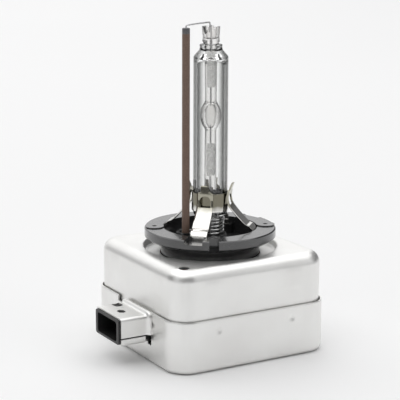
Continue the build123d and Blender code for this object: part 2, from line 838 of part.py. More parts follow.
def choke_core():
    """Ferrite drum core of the suppression choke."""
    top = strip_top + choke_height
    body = rod(choke_barrel, strip_top, top)
    body += rod(choke_radius, strip_top, strip_top + choke_flange)
    body += rod(choke_radius, top - choke_flange, top)
    return Pos(*choke_place, 0) * body


def choke_winding():
    low = strip_top + choke_flange + running_gap
    high = strip_top + choke_height - choke_flange - running_gap
    return Pos(*choke_place, 0) * tube(choke_radius - choke_winding_inset,
                                       choke_barrel + running_gap, low, high)


def strip(points):
    """Flat lead-frame strip along straight runs on the housing's floor."""
    body = None
    for (x0, y0), (x1, y1) in zip(points, points[1:]):
        half = strip_width / 2
        run = block((min(x0, x1) - half, min(y0, y1) - half, strip_z),
                    (max(x0, x1) + half, max(y0, y1) + half, strip_top))
        body = run if body is None else body + run
    return body


def upright(x, middle_y, half, top):
    """A tab that stands up from a strip, its lower-X face at x."""
    return block((x, middle_y - half, strip_z), (x + strip_thick, middle_y + half, top))


def trigger_strip():
    """From the first pin to the spark gap, with an upright tab on its end cap."""
    gap_x, gap_y = gap_place
    tab_x = gap_x - gap_length / 2 - gap_cap
    run_x = tab_x - strip_lap
    first_y = pin_places()[0]
    body = strip([(pin_drop_x, first_y), (run_x, first_y), (run_x, gap_y)])
    return body + upright(tab_x - strip_thick, gap_y, strip_width / 2, gap_z)


def supply_strip():
    """From the last pin along the housing to the choke's foot."""
    last_y = pin_places()[-1]
    return strip([(pin_drop_x, last_y), (choke_place[0], last_y)])


def return_strip():
    """From the middle pin to the upright that meets the burner's return wire."""
    middle_y = pin_places()[1]
    body = strip([(pin_drop_x, middle_y), (rod_x, middle_y)])
    side = rod_x + wire_radius + weld_gap
    return body + upright(side, rod_y, post_half, housing_top - post_drop)


def bridge_strip():
    """From the spark gap's far end to the capacitor and the resistor."""
    gap_x, gap_y = gap_place
    tab_x = gap_x + gap_length / 2 + gap_cap
    lead_x = film_place[0] - film_lead_pitch / 2
    body = strip([(tab_x + strip_lap, gap_y), (lead_x, gap_y), (lead_x, resistor_place[1])])
    return body + upright(tab_x, gap_y, strip_width / 2, gap_z)


def choke_strip():
    """From under the choke past the resistor's lead to the capacitor's other lead."""
    lead_x = film_place[0] + film_lead_pitch / 2
    return strip([(lead_x, choke_place[1]), (lead_x, film_place[1])])


def main():
    save(lower_can(), "lower_can")
    save(upper_can(), "upper_can")
    save(connector_housing(), "connector_housing")
    for number, pin_y in enumerate(pin_places(), 1):
        save(connector_pin(pin_y), f"connector_pin_{number}")
    save(cap_ring(), "cap_ring")
    save(case_gasket(), "case_gasket")
    save(igniter_housing(), "igniter_housing")
    save(housing_lid(), "housing_lid")
    save(ferrite_core(), "ferrite_core")
    save(transformer_bobbin(), "transformer_bobbin")
    save(secondary_winding(), "secondary_winding")
    save(primary_winding(), "primary_winding")
    save(spark_gap_tube(), "spark_gap_tube")
    save(spark_gap_electrodes(), "spark_gap_electrodes")
    save(ignition_capacitor(), "ignition_capacitor")
    save(capacitor_leads(), "capacitor_leads")
    save(bleeder_resistor(), "bleeder_resistor")
    save(resistor_leads(), "resistor_leads")
    save(choke_core(), "choke_core")
    save(choke_winding(), "choke_winding")
    save(trigger_strip(), "trigger_strip")
    save(supply_strip(), "supply_strip")
    save(return_strip(), "return_strip")
    save(bridge_strip(), "bridge_strip")
    save(choke_strip(), "choke_strip")
    save(hv_terminal(), "hv_terminal")
    save(spring_coil(), "contact_spring")
    save(clamp_collar(), "clamp_collar")
    for place, angle in leg_angles.items():
        save(clamp_leg(angle), f"clamp_leg_{place}")
    save(outer_envelope(), "outer_envelope")
    save(arc_tube(), "arc_tube")
    save(electrode(1), "upper_electrode")
    save(electrode(-1), "lower_electrode")
    save(foil(1), "upper_foil")
    save(foil(-1), "lower_foil")
    save(upper_lead(), "upper_lead")
    save(lower_lead(), "lower_lead")
    save(return_wire(), "return_wire")
    save(ceramic_sleeve(), "ceramic_sleeve")
    save(sleeve_tip(), "sleeve_tip")


main()
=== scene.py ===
"""Looks of the xenon headlight bulb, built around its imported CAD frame. Metres, same frame."""
import json
from math import cos, exp, hypot, pi, radians, sin, sqrt, tan
import bmesh
import bpy
from mathutils import Matrix, Vector, noise


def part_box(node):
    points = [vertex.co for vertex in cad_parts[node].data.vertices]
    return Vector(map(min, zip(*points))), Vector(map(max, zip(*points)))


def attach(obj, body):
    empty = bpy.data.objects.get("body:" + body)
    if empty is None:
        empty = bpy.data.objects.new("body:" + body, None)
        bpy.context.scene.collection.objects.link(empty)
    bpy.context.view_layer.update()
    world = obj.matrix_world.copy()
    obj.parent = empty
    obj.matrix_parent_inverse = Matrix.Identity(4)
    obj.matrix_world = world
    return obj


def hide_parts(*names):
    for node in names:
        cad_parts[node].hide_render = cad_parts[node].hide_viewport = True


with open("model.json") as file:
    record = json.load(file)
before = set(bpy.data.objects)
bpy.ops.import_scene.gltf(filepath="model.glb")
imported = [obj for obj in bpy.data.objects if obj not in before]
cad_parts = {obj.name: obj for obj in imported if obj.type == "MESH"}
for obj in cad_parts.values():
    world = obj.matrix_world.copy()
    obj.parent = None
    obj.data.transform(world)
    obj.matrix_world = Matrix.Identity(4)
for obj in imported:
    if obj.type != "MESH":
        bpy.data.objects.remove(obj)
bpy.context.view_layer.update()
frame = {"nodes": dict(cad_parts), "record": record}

MM = 0.001
ON_AXIS = 1e-7  # a smaller radius is a point on the axis
nodes = frame["nodes"]

# ---- sizes read from the frame
envelope_low, envelope_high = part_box("outer_envelope")
arc_low, arc_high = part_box("arc_tube")
collar_low, collar_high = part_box("clamp_collar")
spring_low, spring_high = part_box("contact_spring")
sleeve_low, sleeve_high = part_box("ceramic_sleeve")
tip_low, tip_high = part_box("sleeve_tip")
wire_low, wire_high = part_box("return_wire")
upper_low, upper_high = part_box("upper_can")
lower_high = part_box("lower_can")[1]
light_centre = (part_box("lower_electrode")[1].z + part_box("upper_electrode")[0].z) / 2
collar_radius = collar_high.y
rod_x = (sleeve_low.x + sleeve_high.x) / 2
rod_y = (sleeve_low.y + sleeve_high.y) / 2
case_half = lower_high.x
case_top = upper_high.z
seam = lower_high.z  # the lower can's rim
skirt_foot = upper_low.z
mouth_x = upper_low.x  # face of the connector's shroud

# ---- driving sizes
# burner
ENVELOPE_WALL = 0.9 * MM
FUSED_RADIUS = 2.8 * MM  # where the jacket is collapsed onto the stems
STEM_RADIUS = 1.55 * MM
SEAL_GAP = 0.02 * MM
BELLY_DROP = 24.15 * MM  # the jacket's full width starts this far below the light centre
SHOULDER_RISE = 14.15 * MM  # and ends this far above it
VESSEL_HALF = 3.55 * MM
VESSEL_RADIUS = 2.55 * MM
CHAMBER_HALF = 2.8 * MM
CHAMBER_RADIUS = 1.35 * MM
PINCH = 0.12  # the stems are this share thinner beside the vessel
PINCH_AT = 4.0 * MM
PINCH_SPAN = 1.0 * MM
STUB_HEIGHT = 3.9 * MM
NOTCH_DEPTH = 1.7 * MM  # broken-out notches in the stub's lip
NOTCH_ANGLE = radians(20)
NOTCH_SPREAD = 0.42  # sine of the angle from a notch's middle to its edge
FOIL_THICK = 0.05 * MM
# return lead
WIRE_RADIUS = 0.2 * MM
SLEEVE_BORE = 0.5 * MM
WELD_REACH = 0.41 * MM  # between the two wires' centres at their weld
# clamp
WELL_RADIUS = 11.5 * MM  # the cap's well, whose wall the legs stand against
COLLAR_WALL = 0.3 * MM
LEG_THICK = 0.4 * MM
LEG_WIDTH = 4.0 * MM
LEG_GAP = 0.05 * MM  # from a leg to the collar and to the well's wall
TIP_INSET = 1.1 * MM  # how much narrower each side of a leg's flared tip is
SPLIT_HALF = 0.3 * MM
WINDOW_HALF = 1.35 * MM
WINDOW_SILL = 1.5 * MM  # above the collar's foot
WINDOW_STRAIGHT = 1.5 * MM  # height of the window's sides under its arch
COIL_WIRE_RADIUS = 0.33 * MM
COIL_TURNS = 5.2
# case
SHEET = 0.4 * MM
CASE_CORNER = 5.8 * MM
SIDE_STEPS = 88  # points of a ring along each straight side
BEND_STEPS = 14  # and round each corner
SKIRT_INSET = 0.74 * MM  # the cover's skirt inside the lower can's face
BOTTOM_ROUND = 1.5 * MM
TOP_ROUND = 2.8 * MM
PAD_RISE = 0.3 * MM  # how far the CAD's pads stand out
PAD_HEIGHT = 0.3 * PAD_RISE  # the looks keep them faint
PAD_HALF = 2.2 * MM
PAD_CORNER = 1.0 * MM
PAD_SOFT = 1.3 * MM
PAD_Z = 19.2 * MM
PAD_OFFSET = 11.2 * MM
HOLE_RADIUS = 12.3 * MM
RECESS_RADIUS = 16.2 * MM
RECESS_DEPTH = 1.7 * MM
RECESS_FOOT_ROUND = 0.5 * MM
RECESS_RIM_ROUND = 0.45 * MM
VENT_AT = -16.7 * MM  # in both X and Y
VENT_WIDTH = 2.5 * MM
DETENT_Z = 9.8 * MM
DETENT_OFFSET = 10.1 * MM
DETENT_DEPTH = 0.3 * MM
DETENT_RADIUS = 0.62 * MM
# connector's shroud
SHROUD_Y = -2.45 * MM
SHROUD_HALF = 6.45 * MM
SHROUD_TOP = 12.0 * MM
SHROUD_FOOT = 5.2 * MM
HOOD_ROUND = 0.8 * MM
TRAY_ROUND = 1.0 * MM
HOOD_GAP = 0.35 * MM  # between the hood's rim and the tray's rim
HOOD_SLOTS = (((4.6, 4.7), 3.2, 2.2), ((3.0, -0.6), 2.4, 1.7))  # mm: place, length, width
DOOR_PLAY = 0.05 * MM  # the lower can's doorway passes the shroud by this
RELIEF_REACH = 1.25 * MM  # corner relief between the tray and the can's wall
RELIEF_OUTWARD = 0.5 * MM
RELIEF_DROP = 2.7 * MM
RIM_NOTCH_DEPTH = 1.5 * MM  # the lower can's rim is cut back beside the hood
RIM_NOTCH_PAST = 3.6 * MM

skirt_half = upper_high.y - PAD_RISE
skirt_corner = CASE_CORNER - SKIRT_INSET


# ---- small helpers
def new_object(name, data):
    """Link a mesh, curve, lamp or camera to the scene as an object."""
    piece = bpy.data.objects.new(name, data)
    bpy.context.scene.collection.objects.link(piece)
    return piece


def smooth_by_angle(piece, degrees=35):
    """Smooth shading with edges sharper than an angle kept crisp."""
    mesh = piece.data
    mesh.shade_smooth()
    work = bmesh.new()
    work.from_mesh(mesh)
    limit = radians(degrees)
    for edge in work.edges:
        edge.smooth = len(edge.link_faces) != 2 or edge.calc_face_angle(0) < limit
    work.to_mesh(mesh)
    work.free()


def modify(piece, kind, **settings):
    """Add one modifier to a piece and bake it into its mesh."""
    modifier = piece.modifiers.new(kind, kind)
    for label, value in settings.items():
        setattr(modifier, label, value)
    graph = bpy.context.evaluated_depsgraph_get()
    graph.update()
    baked = bpy.data.meshes.new_from_object(piece.evaluated_get(graph))
    old = piece.data
    piece.modifiers.clear()
    piece.data = baked
    bpy.data.meshes.remove(old)
    baked.name = piece.name


def rounded_profile(points, steps=5):
    """Points of an open outline with each (r, z, corner radius) corner turned into an arc."""
    result = []
    count = len(points)
    for index, (r, z, corner) in enumerate(points):
        here = Vector((r, z))
        if corner == 0 or index in (0, count - 1):
            result.append((r, z))
            continue
        before = Vector(points[index - 1][:2]) - here
        after = Vector(points[index + 1][:2]) - here
        half = before.angle(after) / 2
        reach = min(corner / tan(half), before.length * 0.49, after.length * 0.49)
        start = here + before.normalized() * reach
        end = here + after.normalized() * reach
        for step in range(steps + 1):
            t = step / steps
            bend = (1 - t) ** 2 * start + 2 * t * (1 - t) * here + t ** 2 * end
            result.append((bend.x, bend.y))
    return result


def lathe(name, loops, segments=96, centre=(0.0, 0.0), shape=None, hollow=()):
    """A solid of revolution about a vertical line, from closed loops of (r, z) points."""
    work = bmesh.new()
    for number, profile in enumerate(loops):
        rings = []
        for r, z in profile:
            if r < ON_AXIS:
                rings.append([work.verts.new((centre[0], centre[1], z))])
                continue
            ring = []
            for step in range(segments):
                angle = 2 * pi * step / segments
                radius, height = (r, z) if shape is None else shape(r, z, angle)
                ring.append(work.verts.new((centre[0] + radius * cos(angle),
                                            centre[1] + radius * sin(angle), height)))
            rings.append(ring)
        faces = []
        for low, high in zip(rings, rings[1:] + rings[:1]):
            faces += join_rings(work, low, high)
        bmesh.ops.recalc_face_normals(work, faces=faces)
        if number in hollow:
            bmesh.ops.reverse_faces(work, faces=faces)
    piece = mesh_object(name, work)
    smooth_by_angle(piece)
    return piece


def join_rings(work, low, high):
    """Faces between two rings of vertices, either of which may be a single point."""
    if len(low) == 1 and len(high) == 1:
        return []
    count = max(len(low), len(high))
    faces = []
    for step in range(count):
        after = (step + 1) % count
        if len(low) == 1:
            faces.append(work.faces.new((low[0], high[after], high[step])))
        elif len(high) == 1:
            faces.append(work.faces.new((low[step], low[after], high[0])))
        else:
            faces.append(work.faces.new((low[step], low[after], high[after], high[step])))
    return faces


def fill_grid(work, grid):
    """Quads between the rows of vertices of a sheet."""
    for lower, upper in zip(grid, grid[1:]):
        for column in range(len(lower) - 1):
            work.faces.new((lower[column], lower[column + 1], upper[column + 1], upper[column]))


def wire_mesh(name, points, radius, resolution=10, sides=4):
    """A round wire along a smooth NURBS line, as a mesh with closed ends."""
    curve = bpy.data.curves.new(name, "CURVE")
    curve.dimensions = "3D"
    curve.bevel_depth = radius
    curve.bevel_resolution = sides
    curve.use_fill_caps = True
    curve.resolution_u = resolution
    spline = curve.splines.new("NURBS")
    spline.points.add(len(points) - 1)
    for point, spot in zip(spline.points, points):
        point.co = (*spot, 1.0)
    spline.order_u = 3
    spline.use_endpoint_u = True
    holder = new_object(name + "_line", curve)
    graph = bpy.context.evaluated_depsgraph_get()
    mesh = bpy.data.meshes.new_from_object(holder.evaluated_get(graph))
    bpy.data.objects.remove(holder)
    bpy.data.curves.remove(curve)
    mesh.name = name
    piece = new_object(name, mesh)
    smooth_by_angle(piece, 50)
    return piece


def mesh_object(name, work):
    """Turn a finished bmesh into an object of the scene."""
    mesh = bpy.data.meshes.new(name)
    work.to_mesh(mesh)
    work.free()
    return new_object(name, mesh)


def ease_edges(piece, width, angle):
    """Round over the edges that are sharper than an angle in degrees."""
    modify(piece, "BEVEL", width=width, segments=2, limit_method="ANGLE", angle_limit=radians(angle))


def dress(piece, material):
    """Give a piece one material."""
    piece.data.materials.clear()
    piece.data.materials.append(material)


def place(piece, slot, node, material=None):
    """Finish a new visible piece: give it the slot's material (or the one given), put it under the root body
    and hide the CAD node it stands for.
    """
    dress(piece, material or MATERIALS[slot])
    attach(piece, "root")
    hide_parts(node)


# ---- materials
WAVE_STEP = 0.314  # the Wave texture's bands lie this far apart at scale 1


class Shader:
    """A material's node tree, with short calls for the nodes that every finish uses."""

    def __init__(self, name, colour, rough, metal=0.0, **settings):
        self.material = bpy.data.materials.new(name)
        self.material.use_nodes = True
        self.tree = self.material.node_tree
        self.shader = self.tree.nodes["Principled BSDF"]
        self.set("Base Color", (*colour, 1.0))
        self.set("Roughness", rough)
        self.set("Metallic", metal)
        for label, value in settings.items():
            self.set(label.replace("_", " "), value)
        self.position = self.add("TexCoord").outputs["Object"]
        self.last_normal = None

    def set(self, label, value):
        """Set or link one of the surface's inputs."""
        self.feed(self.shader.inputs[label], value)

    def feed(self, into, value):
        """Give an input a value, or link it to another node's output."""
        if isinstance(value, bpy.types.NodeSocket):
            self.tree.links.new(value, into)
        else:
            into.default_value = value

    def add(self, kind, **values):
        """A new node of a kind, with some of its inputs set or linked."""
        node = self.tree.nodes.new("ShaderNode" + kind)
        for label, value in values.items():
            self.feed(node.inputs[label.replace("_", " ")], value)
        return node

    def stretched(self, scale):
        """Object coordinates scaled on each axis, in 1/m."""
        return self.add("Mapping", Scale=scale, Vector=self.position).outputs["Vector"]

    def noise(self, size, detail=4.0, stretch=(1, 1, 1)):
        """Noise whose blobs are about `size` metres."""
        where = self.stretched([s / size for s in stretch])
        return self.add("TexNoise", Scale=1.0, Detail=detail, Roughness=0.55, Vector=where).outputs["Fac"]

    def bands(self, size, axis, distortion):
        """Even bands across one axis, such as the turns of a winding."""
        where = self.stretched([WAVE_STEP / size] * 3)
        texture = self.add("TexWave", Scale=1.0, Distortion=distortion, Detail=0.0, Vector=where)
        texture.bands_direction = axis
        return texture.outputs["Fac"]

    def spread(self, value, low, high, from_low=0.3, from_high=0.7):
        """Map a pattern onto a range of numbers."""
        return self.add("MapRange", Value=value, From_Min=from_low, From_Max=from_high,
                        To_Min=low, To_Max=high).outputs["Result"]

    def vary_roughness(self, value, low, high):
        """Let the roughness follow a pattern."""
        self.set("Roughness", self.spread(value, low, high))

    def vary_colour(self, value, first, second, from_low=0.3, from_high=0.7):
        """Blend two colours by a pattern."""
        mix = self.tree.nodes.new("ShaderNodeMix")
        mix.data_type = "RGBA"
        mix.inputs["A"].default_value = (*first, 1.0)
        mix.inputs["B"].default_value = (*second, 1.0)
        self.feed(mix.inputs["Factor"], self.spread(value, 0.0, 1.0, from_low, from_high))
        self.set("Base Color", mix.outputs["Result"])

    def calculate(self, operation, value, factor, added=None):
        """A number changed by a factor, and by another number where the operation adds one."""
        node = self.add("Math")
        node.operation = operation
        self.feed(node.inputs[0], value)
        self.feed(node.inputs[1], factor)
        if added is not None:
            self.feed(node.inputs[2], added)
        return node.outputs["Value"]

    def place_parts(self):
        """The X, Y and Z of the object coordinates."""
        split = self.add("SeparateXYZ", Vector=self.position)
        return [split.outputs[axis] for axis in "XYZ"]

    def vary_colour_upward(self, low, high, first, second):
        """Blend two colours between two heights, with an uneven border."""
        height = high - low
        uneven = self.calculate("MULTIPLY_ADD", self.noise(1.5 * MM), height, self.place_parts()[2])
        self.vary_colour(uneven, first, second, low + height / 2, high + height / 2)

    def paint_dark_side_reflections(self, edge, clear, start, end):
        """Paint shade onto a glass tube's two sides: the colour turns dark where one looks along its wall,
        standing in for the dark reflections seen there.
        """
        x, y, _ = self.place_parts()
        around = self.add("CombineXYZ", X=self.calculate("MULTIPLY", y, -1.0), Y=x)
        unit = self.add("VectorMath")
        unit.operation = "NORMALIZE"
        self.feed(unit.inputs[0], around.outputs["Vector"])
        weight = self.add("LayerWeight", Blend=0.5, Normal=unit.outputs["Vector"])
        # painted shade: the edge colour is painted on where the view grazes the wall
        self.vary_colour(weight.outputs["Facing"], edge, clear, start, end)

    def bump(self, value, height):
        """Raise the surface by a pattern, `height` metres from lowest to highest."""
        node = self.add("Bump", Distance=height, Strength=1.0, Height=value)
        if self.last_normal is not None:
            self.feed(node.inputs["Normal"], self.last_normal)
        self.last_normal = node.outputs["Normal"]
        self.set("Normal", self.last_normal)


def satin_case_steel():
    """Tinned deep-drawn sheet: satin, with faint drawing streaks and slight waviness."""
    look = Shader("case_steel", (0.86, 0.86, 0.845), 0.3, metal=1.0)
    streaks = look.noise(0.5 * MM, detail=2.0, stretch=(1, 1, 0.08))
    look.vary_colour(look.noise(12 * MM, detail=2.0), (0.83, 0.825, 0.81), (0.88, 0.88, 0.865))
    look.vary_roughness(streaks, 0.36, 0.42)
    look.bump(look.noise(14 * MM, detail=1.0), 0.03 * MM)
    look.bump(streaks, 0.0006 * MM)
    look.bump(look.noise(0.2 * MM, detail=2.0), 0.0006 * MM)
    return look.material


def cap_plastic():
    """Dark moulded cap: semi-gloss with a fine mould grain."""
    look = Shader("cap_plastic", (0.03, 0.03, 0.031), 0.2, Specular_IOR_Level=1.0, Coat_Weight=0.35,
                    Coat_Roughness=0.08)
    grain = look.noise(0.5 * MM)
    look.vary_colour(look.noise(3 * MM), (0.02, 0.02, 0.021), (0.036, 0.036, 0.037))
    look.vary_roughness(grain, 0.16, 0.26)
    look.bump(look.noise(2.5 * MM, detail=1.0), 0.02 * MM)
    look.bump(grain, 0.002 * MM)
    return look.material


def socket_plastic():
    """Black moulded socket, a little duller than the cap."""
    look = Shader("socket_plastic", (0.012, 0.012, 0.012), 0.42)
    grain = look.noise(0.25 * MM)
    look.vary_colour(look.noise(2 * MM), (0.008, 0.008, 0.008), (0.02, 0.02, 0.02))
    look.vary_roughness(grain, 0.35, 0.5)
    look.bump(grain, 0.008 * MM)
    return look.material


def strip_steel(name, painted_shade_colour):
    """Bright rolled stainless strip, painted darker upward where it holds the burner: painted shade on its
    steep, sideways-facing parts.
    """
    look = Shader(name, (0.78, 0.77, 0.74), 0.16, metal=1.0)
    lines = look.noise(0.35 * MM, detail=2.0, stretch=(1, 1, 0.05))
    # painted shade: lighter below the collar's foot, darker above it
    look.vary_colour_upward(collar_low.z + 0.2 * MM, collar_low.z + 1.6 * MM,
                              (0.82, 0.81, 0.78), painted_shade_colour)
    look.vary_roughness(lines, 0.1, 0.2)
    look.bump(lines, 0.002 * MM)
    look.bump(look.noise(2.5 * MM, detail=1.0), 0.01 * MM)
    return look.material


def quartz():
    """Clear fused quartz of the outer jacket, with the draw's slight unevenness."""
    look = Shader("quartz", (0.97, 0.98, 0.975), 0.0, Transmission_Weight=1.0, IOR=1.458)
    look.bump(look.noise(3 * MM, detail=1.0, stretch=(1, 1, 0.15)), 0.012 * MM)
    # painted shade: near-black sides stand in for the jacket's dark side reflections
    look.paint_dark_side_reflections((0.06, 0.062, 0.06), (0.98, 0.985, 0.98), 0.15, 0.58)
    return look.material


def vessel_quartz():
    """Quartz of the arc tube, with the film of salts that clouds its vessel."""
    look = Shader("vessel_quartz", (0.95, 0.94, 0.93), 0.05, Transmission_Weight=0.93, IOR=1.458)
    look.vary_roughness(look.noise(1.6 * MM, detail=3.0), 0.02, 0.14)
    look.bump(look.noise(1.5 * MM, detail=2.0), 0.02 * MM)
    # painted shade: darker sides stand in for the arc tube's dark side reflections
    look.paint_dark_side_reflections((0.22, 0.218, 0.215), (0.94, 0.93, 0.92), 0.1, 0.5)
    return look.material


def brown_ceramic():
    """Unglazed brown ceramic sleeve: fine speckle and faint extrusion lines."""
    look = Shader("brown_ceramic", (0.17, 0.108, 0.08), 0.5)
    speckle = look.noise(0.18 * MM, detail=5.0)
    look.vary_colour(speckle, (0.125, 0.077, 0.056), (0.21, 0.14, 0.105))
    look.vary_roughness(speckle, 0.45, 0.65)
    look.bump(speckle, 0.006 * MM)
    look.bump(look.noise(0.3 * MM, stretch=(1, 1, 0.04)), 0.006 * MM)
    return look.material


def grey_glaze():
    """Dark grey glaze of the sleeve's plug."""
    look = Shader("grey_glaze", (0.1, 0.1, 0.105), 0.3)
    look.vary_colour(look.noise(0.5 * MM), (0.07, 0.07, 0.075), (0.15, 0.15, 0.155))
    look.bump(look.noise(0.3 * MM), 0.01 * MM)
    return look.material


def spring_steel():
    """Bright drawn spring wire."""
    look = Shader("spring_steel", (0.75, 0.75, 0.75), 0.2, metal=1.0)
    drawn = look.noise(0.2 * MM)
    look.vary_colour(drawn, (0.66, 0.66, 0.66), (0.82, 0.82, 0.82))
    look.vary_roughness(drawn, 0.14, 0.28)
    look.bump(drawn, 0.003 * MM)
    return look.material


def rolled_metal(name, dark, light, rough_low, rough_high):
    """Plated, drawn or rolled metal: fine grain and a little tarnish."""
    look = Shader(name, light, rough_low, metal=1.0)
    grain = look.noise(0.3 * MM, stretch=(1, 1, 0.3))
    look.vary_colour(look.noise(1.5 * MM), dark, light)
    look.vary_roughness(grain, rough_low, rough_high)
    look.bump(grain, 0.003 * MM)
    return look.material


def moulded(name, dark, light, rough_low, rough_high, grain_size=0.4 * MM):
    """Moulded plastic, rubber, ferrite or ceramic with a fine grain."""
    look = Shader(name, light, rough_low)
    grain = look.noise(grain_size)
    look.vary_colour(look.noise(3 * MM), dark, light)
    look.vary_roughness(grain, rough_low, rough_high)
    look.bump(grain, 0.01 * MM)
    return look.material


def wound_wire(name, dark, light, wire_size, axis):
    """Enamelled wire wound in close turns along one axis."""
    look = Shader(name, light, 0.3, Coat_Weight=0.5)
    turns = look.bands(wire_size, axis, 0.4)
    look.vary_colour(turns, dark, light, 0.0, 1.0)
    look.vary_roughness(look.noise(1 * MM), 0.25, 0.4)
    look.bump(turns, wire_size / 3)
    return look.material


# dark and light colour, lowest and highest roughness, and the grain's size where it isn't 0.4 mm
MOULDED = {
    "silicone": ((0.2, 0.05, 0.03), (0.32, 0.09, 0.06), 0.5, 0.65),
    "housing_plastic": ((0.03, 0.03, 0.033), (0.06, 0.06, 0.065), 0.4, 0.55),
    "bobbin_plastic": ((0.09, 0.08, 0.065), (0.14, 0.13, 0.11), 0.4, 0.55),
    "ferrite": ((0.03, 0.03, 0.033), (0.06, 0.06, 0.065), 0.6, 0.8, 0.2 * MM),
    "alumina": ((0.75, 0.73, 0.68), (0.88, 0.87, 0.84), 0.35, 0.5, 0.2 * MM),
    "film_case": ((0.42, 0.05, 0.03), (0.55, 0.08, 0.05), 0.25, 0.35),
    "resistor_body": ((0.3, 0.45, 0.52), (0.42, 0.58, 0.64), 0.3, 0.4),
}
ROLLED = {
    "copper_foil": ((0.62, 0.27, 0.14), (0.85, 0.45, 0.28), 0.2, 0.35),
    "nickel": ((0.52, 0.5, 0.46), (0.68, 0.66, 0.62), 0.25, 0.4),
    "tinned_brass": ((0.68, 0.67, 0.62), (0.8, 0.79, 0.75), 0.2, 0.35),
    "lead_frame": ((0.62, 0.48, 0.24), (0.78, 0.64, 0.36), 0.25, 0.4),
    "tungsten": ((0.3, 0.3, 0.31), (0.45, 0.45, 0.46), 0.3, 0.45),
    "molybdenum": ((0.62, 0.62, 0.62), (0.85, 0.85, 0.84), 0.2, 0.4),
    "lead_wire": ((0.5, 0.5, 0.51), (0.7, 0.7, 0.7), 0.2, 0.35),
}
MATERIALS = {
    "case_steel": satin_case_steel(),
    "cap_plastic": cap_plastic(),
    "black_plastic": socket_plastic(),
    # the legs' colour above the collar's foot is painted shade
    "clamp_steel": strip_steel("clamp_steel", (0.38, 0.365, 0.3)),
    "quartz": quartz(),
    "vessel_quartz": vessel_quartz(),
    "brown_ceramic": brown_ceramic(),
    "grey_glaze": grey_glaze(),
    "spring_steel": spring_steel(),
    "enamelled_wire": wound_wire("enamelled_wire", (0.16, 0.035, 0.01), (0.5, 0.17, 0.05), 0.2 * MM, "X"),
}
for name, values in MOULDED.items():
    MATERIALS[name] = moulded(name, *values)
for name, values in ROLLED.items():
    MATERIALS[name] = rolled_metal(name, *values)

# The collar's own strip is the same steel with darker painted shade, so that the legs' windows read dark
# against it.
SHADED_COLLAR_STEEL = strip_steel("shaded_collar_steel", (0.2, 0.188, 0.145))

for row in frame["record"]["subparts"]:
    dress(nodes[row["node"]], MATERIALS[row["material_slot"]])


# ---- burner
def make_envelope():
    """Quartz jacket: one drawn tube with rounded shoulders, collapsed onto the stems."""
    radius = envelope_high.x
    inner = radius - ENVELOPE_WALL
    foot = envelope_low.z
    top = envelope_high.z
    belly = light_centre - BELLY_DROP
    shoulder = light_centre + SHOULDER_RISE
    bore = STEM_RADIUS + SEAL_GAP
    outline = [(bore, foot, 0), (FUSED_RADIUS, foot, 0.3 * MM),
               (FUSED_RADIUS, belly - 0.9 * MM, 0.8 * MM), (radius, belly - 0.1 * MM, 1.2 * MM),
               (radius, shoulder, 1.1 * MM), (FUSED_RADIUS, shoulder + 1.5 * MM, 0.7 * MM),
               (FUSED_RADIUS * 0.95, shoulder + 2.2 * MM, 0.4 * MM),
               (FUSED_RADIUS, top - 0.3 * MM, 0.3 * MM), (bore, top, 0),
               (bore, shoulder + 0.1 * MM, 0), (inner, shoulder - 1.0 * MM, 1.6 * MM),
               (inner, belly + 1.7 * MM, 1.4 * MM), (bore, belly + 0.7 * MM, 0)]

    def drawn(r, z, angle):
        """The slight waviness that drawing leaves, fading out at the seals."""
        if r < FUSED_RADIUS * 1.05:
            return r, z
        wave = noise.noise(Vector((cos(angle) * 1.3, sin(angle) * 1.3, z / (9 * MM))))
        return r - 0.02 * MM * (1 + wave), z

    piece = lathe("jacket", [rounded_profile(outline, 8)], segments=128, shape=drawn)
    place(piece, "quartz", "outer_envelope")


def vessel_profile(steps=24):
    """(r, z) points up the outside of the blown vessel, blended into the stems."""
    points = []
    for step in range(steps + 1):
        z = VESSEL_HALF * (2 * step / steps - 1)
        blown = VESSEL_RADIUS * sqrt(max(0.0, 1 - (z / VESSEL_HALF) ** 2))
        neck = STEM_RADIUS * (1 - PINCH * exp(-((abs(z) - PINCH_AT) / PINCH_SPAN) ** 2))
        points.append(((blown ** 6 + neck ** 6) ** (1 / 6), light_centre + z))
    return points


def chamber_profile(steps=24):
    """(r, z) points of the discharge chamber inside the vessel."""
    points = []
    for step in range(steps + 1):
        height = -cos(pi * step / steps)
        points.append((CHAMBER_RADIUS * sqrt(max(0.0, 1 - height * height)),
                       light_centre + CHAMBER_HALF * height))
    return points


def make_arc_tube():
    """Solid quartz stems, the blown vessel with its chamber, and the open stub."""
    foot = arc_low.z
    stub_top = arc_high.z
    stub_foot = stub_top - STUB_HEIGHT
    outline = [(0, foot, 0), (STEM_RADIUS, foot, 0.3 * MM)]
    outline += [(r, z, 0) for r, z in vessel_profile()]
    outline += [(STEM_RADIUS, stub_foot - 0.4 * MM, 0.2 * MM), (2.1 * MM, stub_foot + 0.3 * MM, 0.3 * MM),
                (2.0 * MM, stub_foot + 1.6 * MM, 1.0 * MM), (2.2 * MM, stub_top, 0.12 * MM),
                (1.45 * MM, stub_top, 0.12 * MM), (1.3 * MM, stub_foot + 1.0 * MM, 0.5 * MM),
                (0, stub_foot + 0.7 * MM, 0)]

    def snapped(r, z, angle):
        """Two broken-out notches across the stub's lip, and a slightly ragged rim."""
        if z < stub_foot + 1.4 * MM or r < 1.0 * MM:
            return r, z
        height = (z - stub_foot) / (stub_top - stub_foot)
        side = abs(sin(angle - NOTCH_ANGLE))
        notch = NOTCH_DEPTH * max(0.0, 1 - side / NOTCH_SPREAD) * height ** 2
        ragged = 0.16 * MM * noise.noise(Vector((4 * cos(angle), 4 * sin(angle), 2.0)))
        return r, z - notch + min(0.0, ragged * height) - 0.02 * MM

    piece = lathe("arc_tube_glass", [rounded_profile(outline, 6), chamber_profile()], segments=96,
                  shape=snapped, hollow=(1,))
    place(piece, "vessel_quartz", "arc_tube")


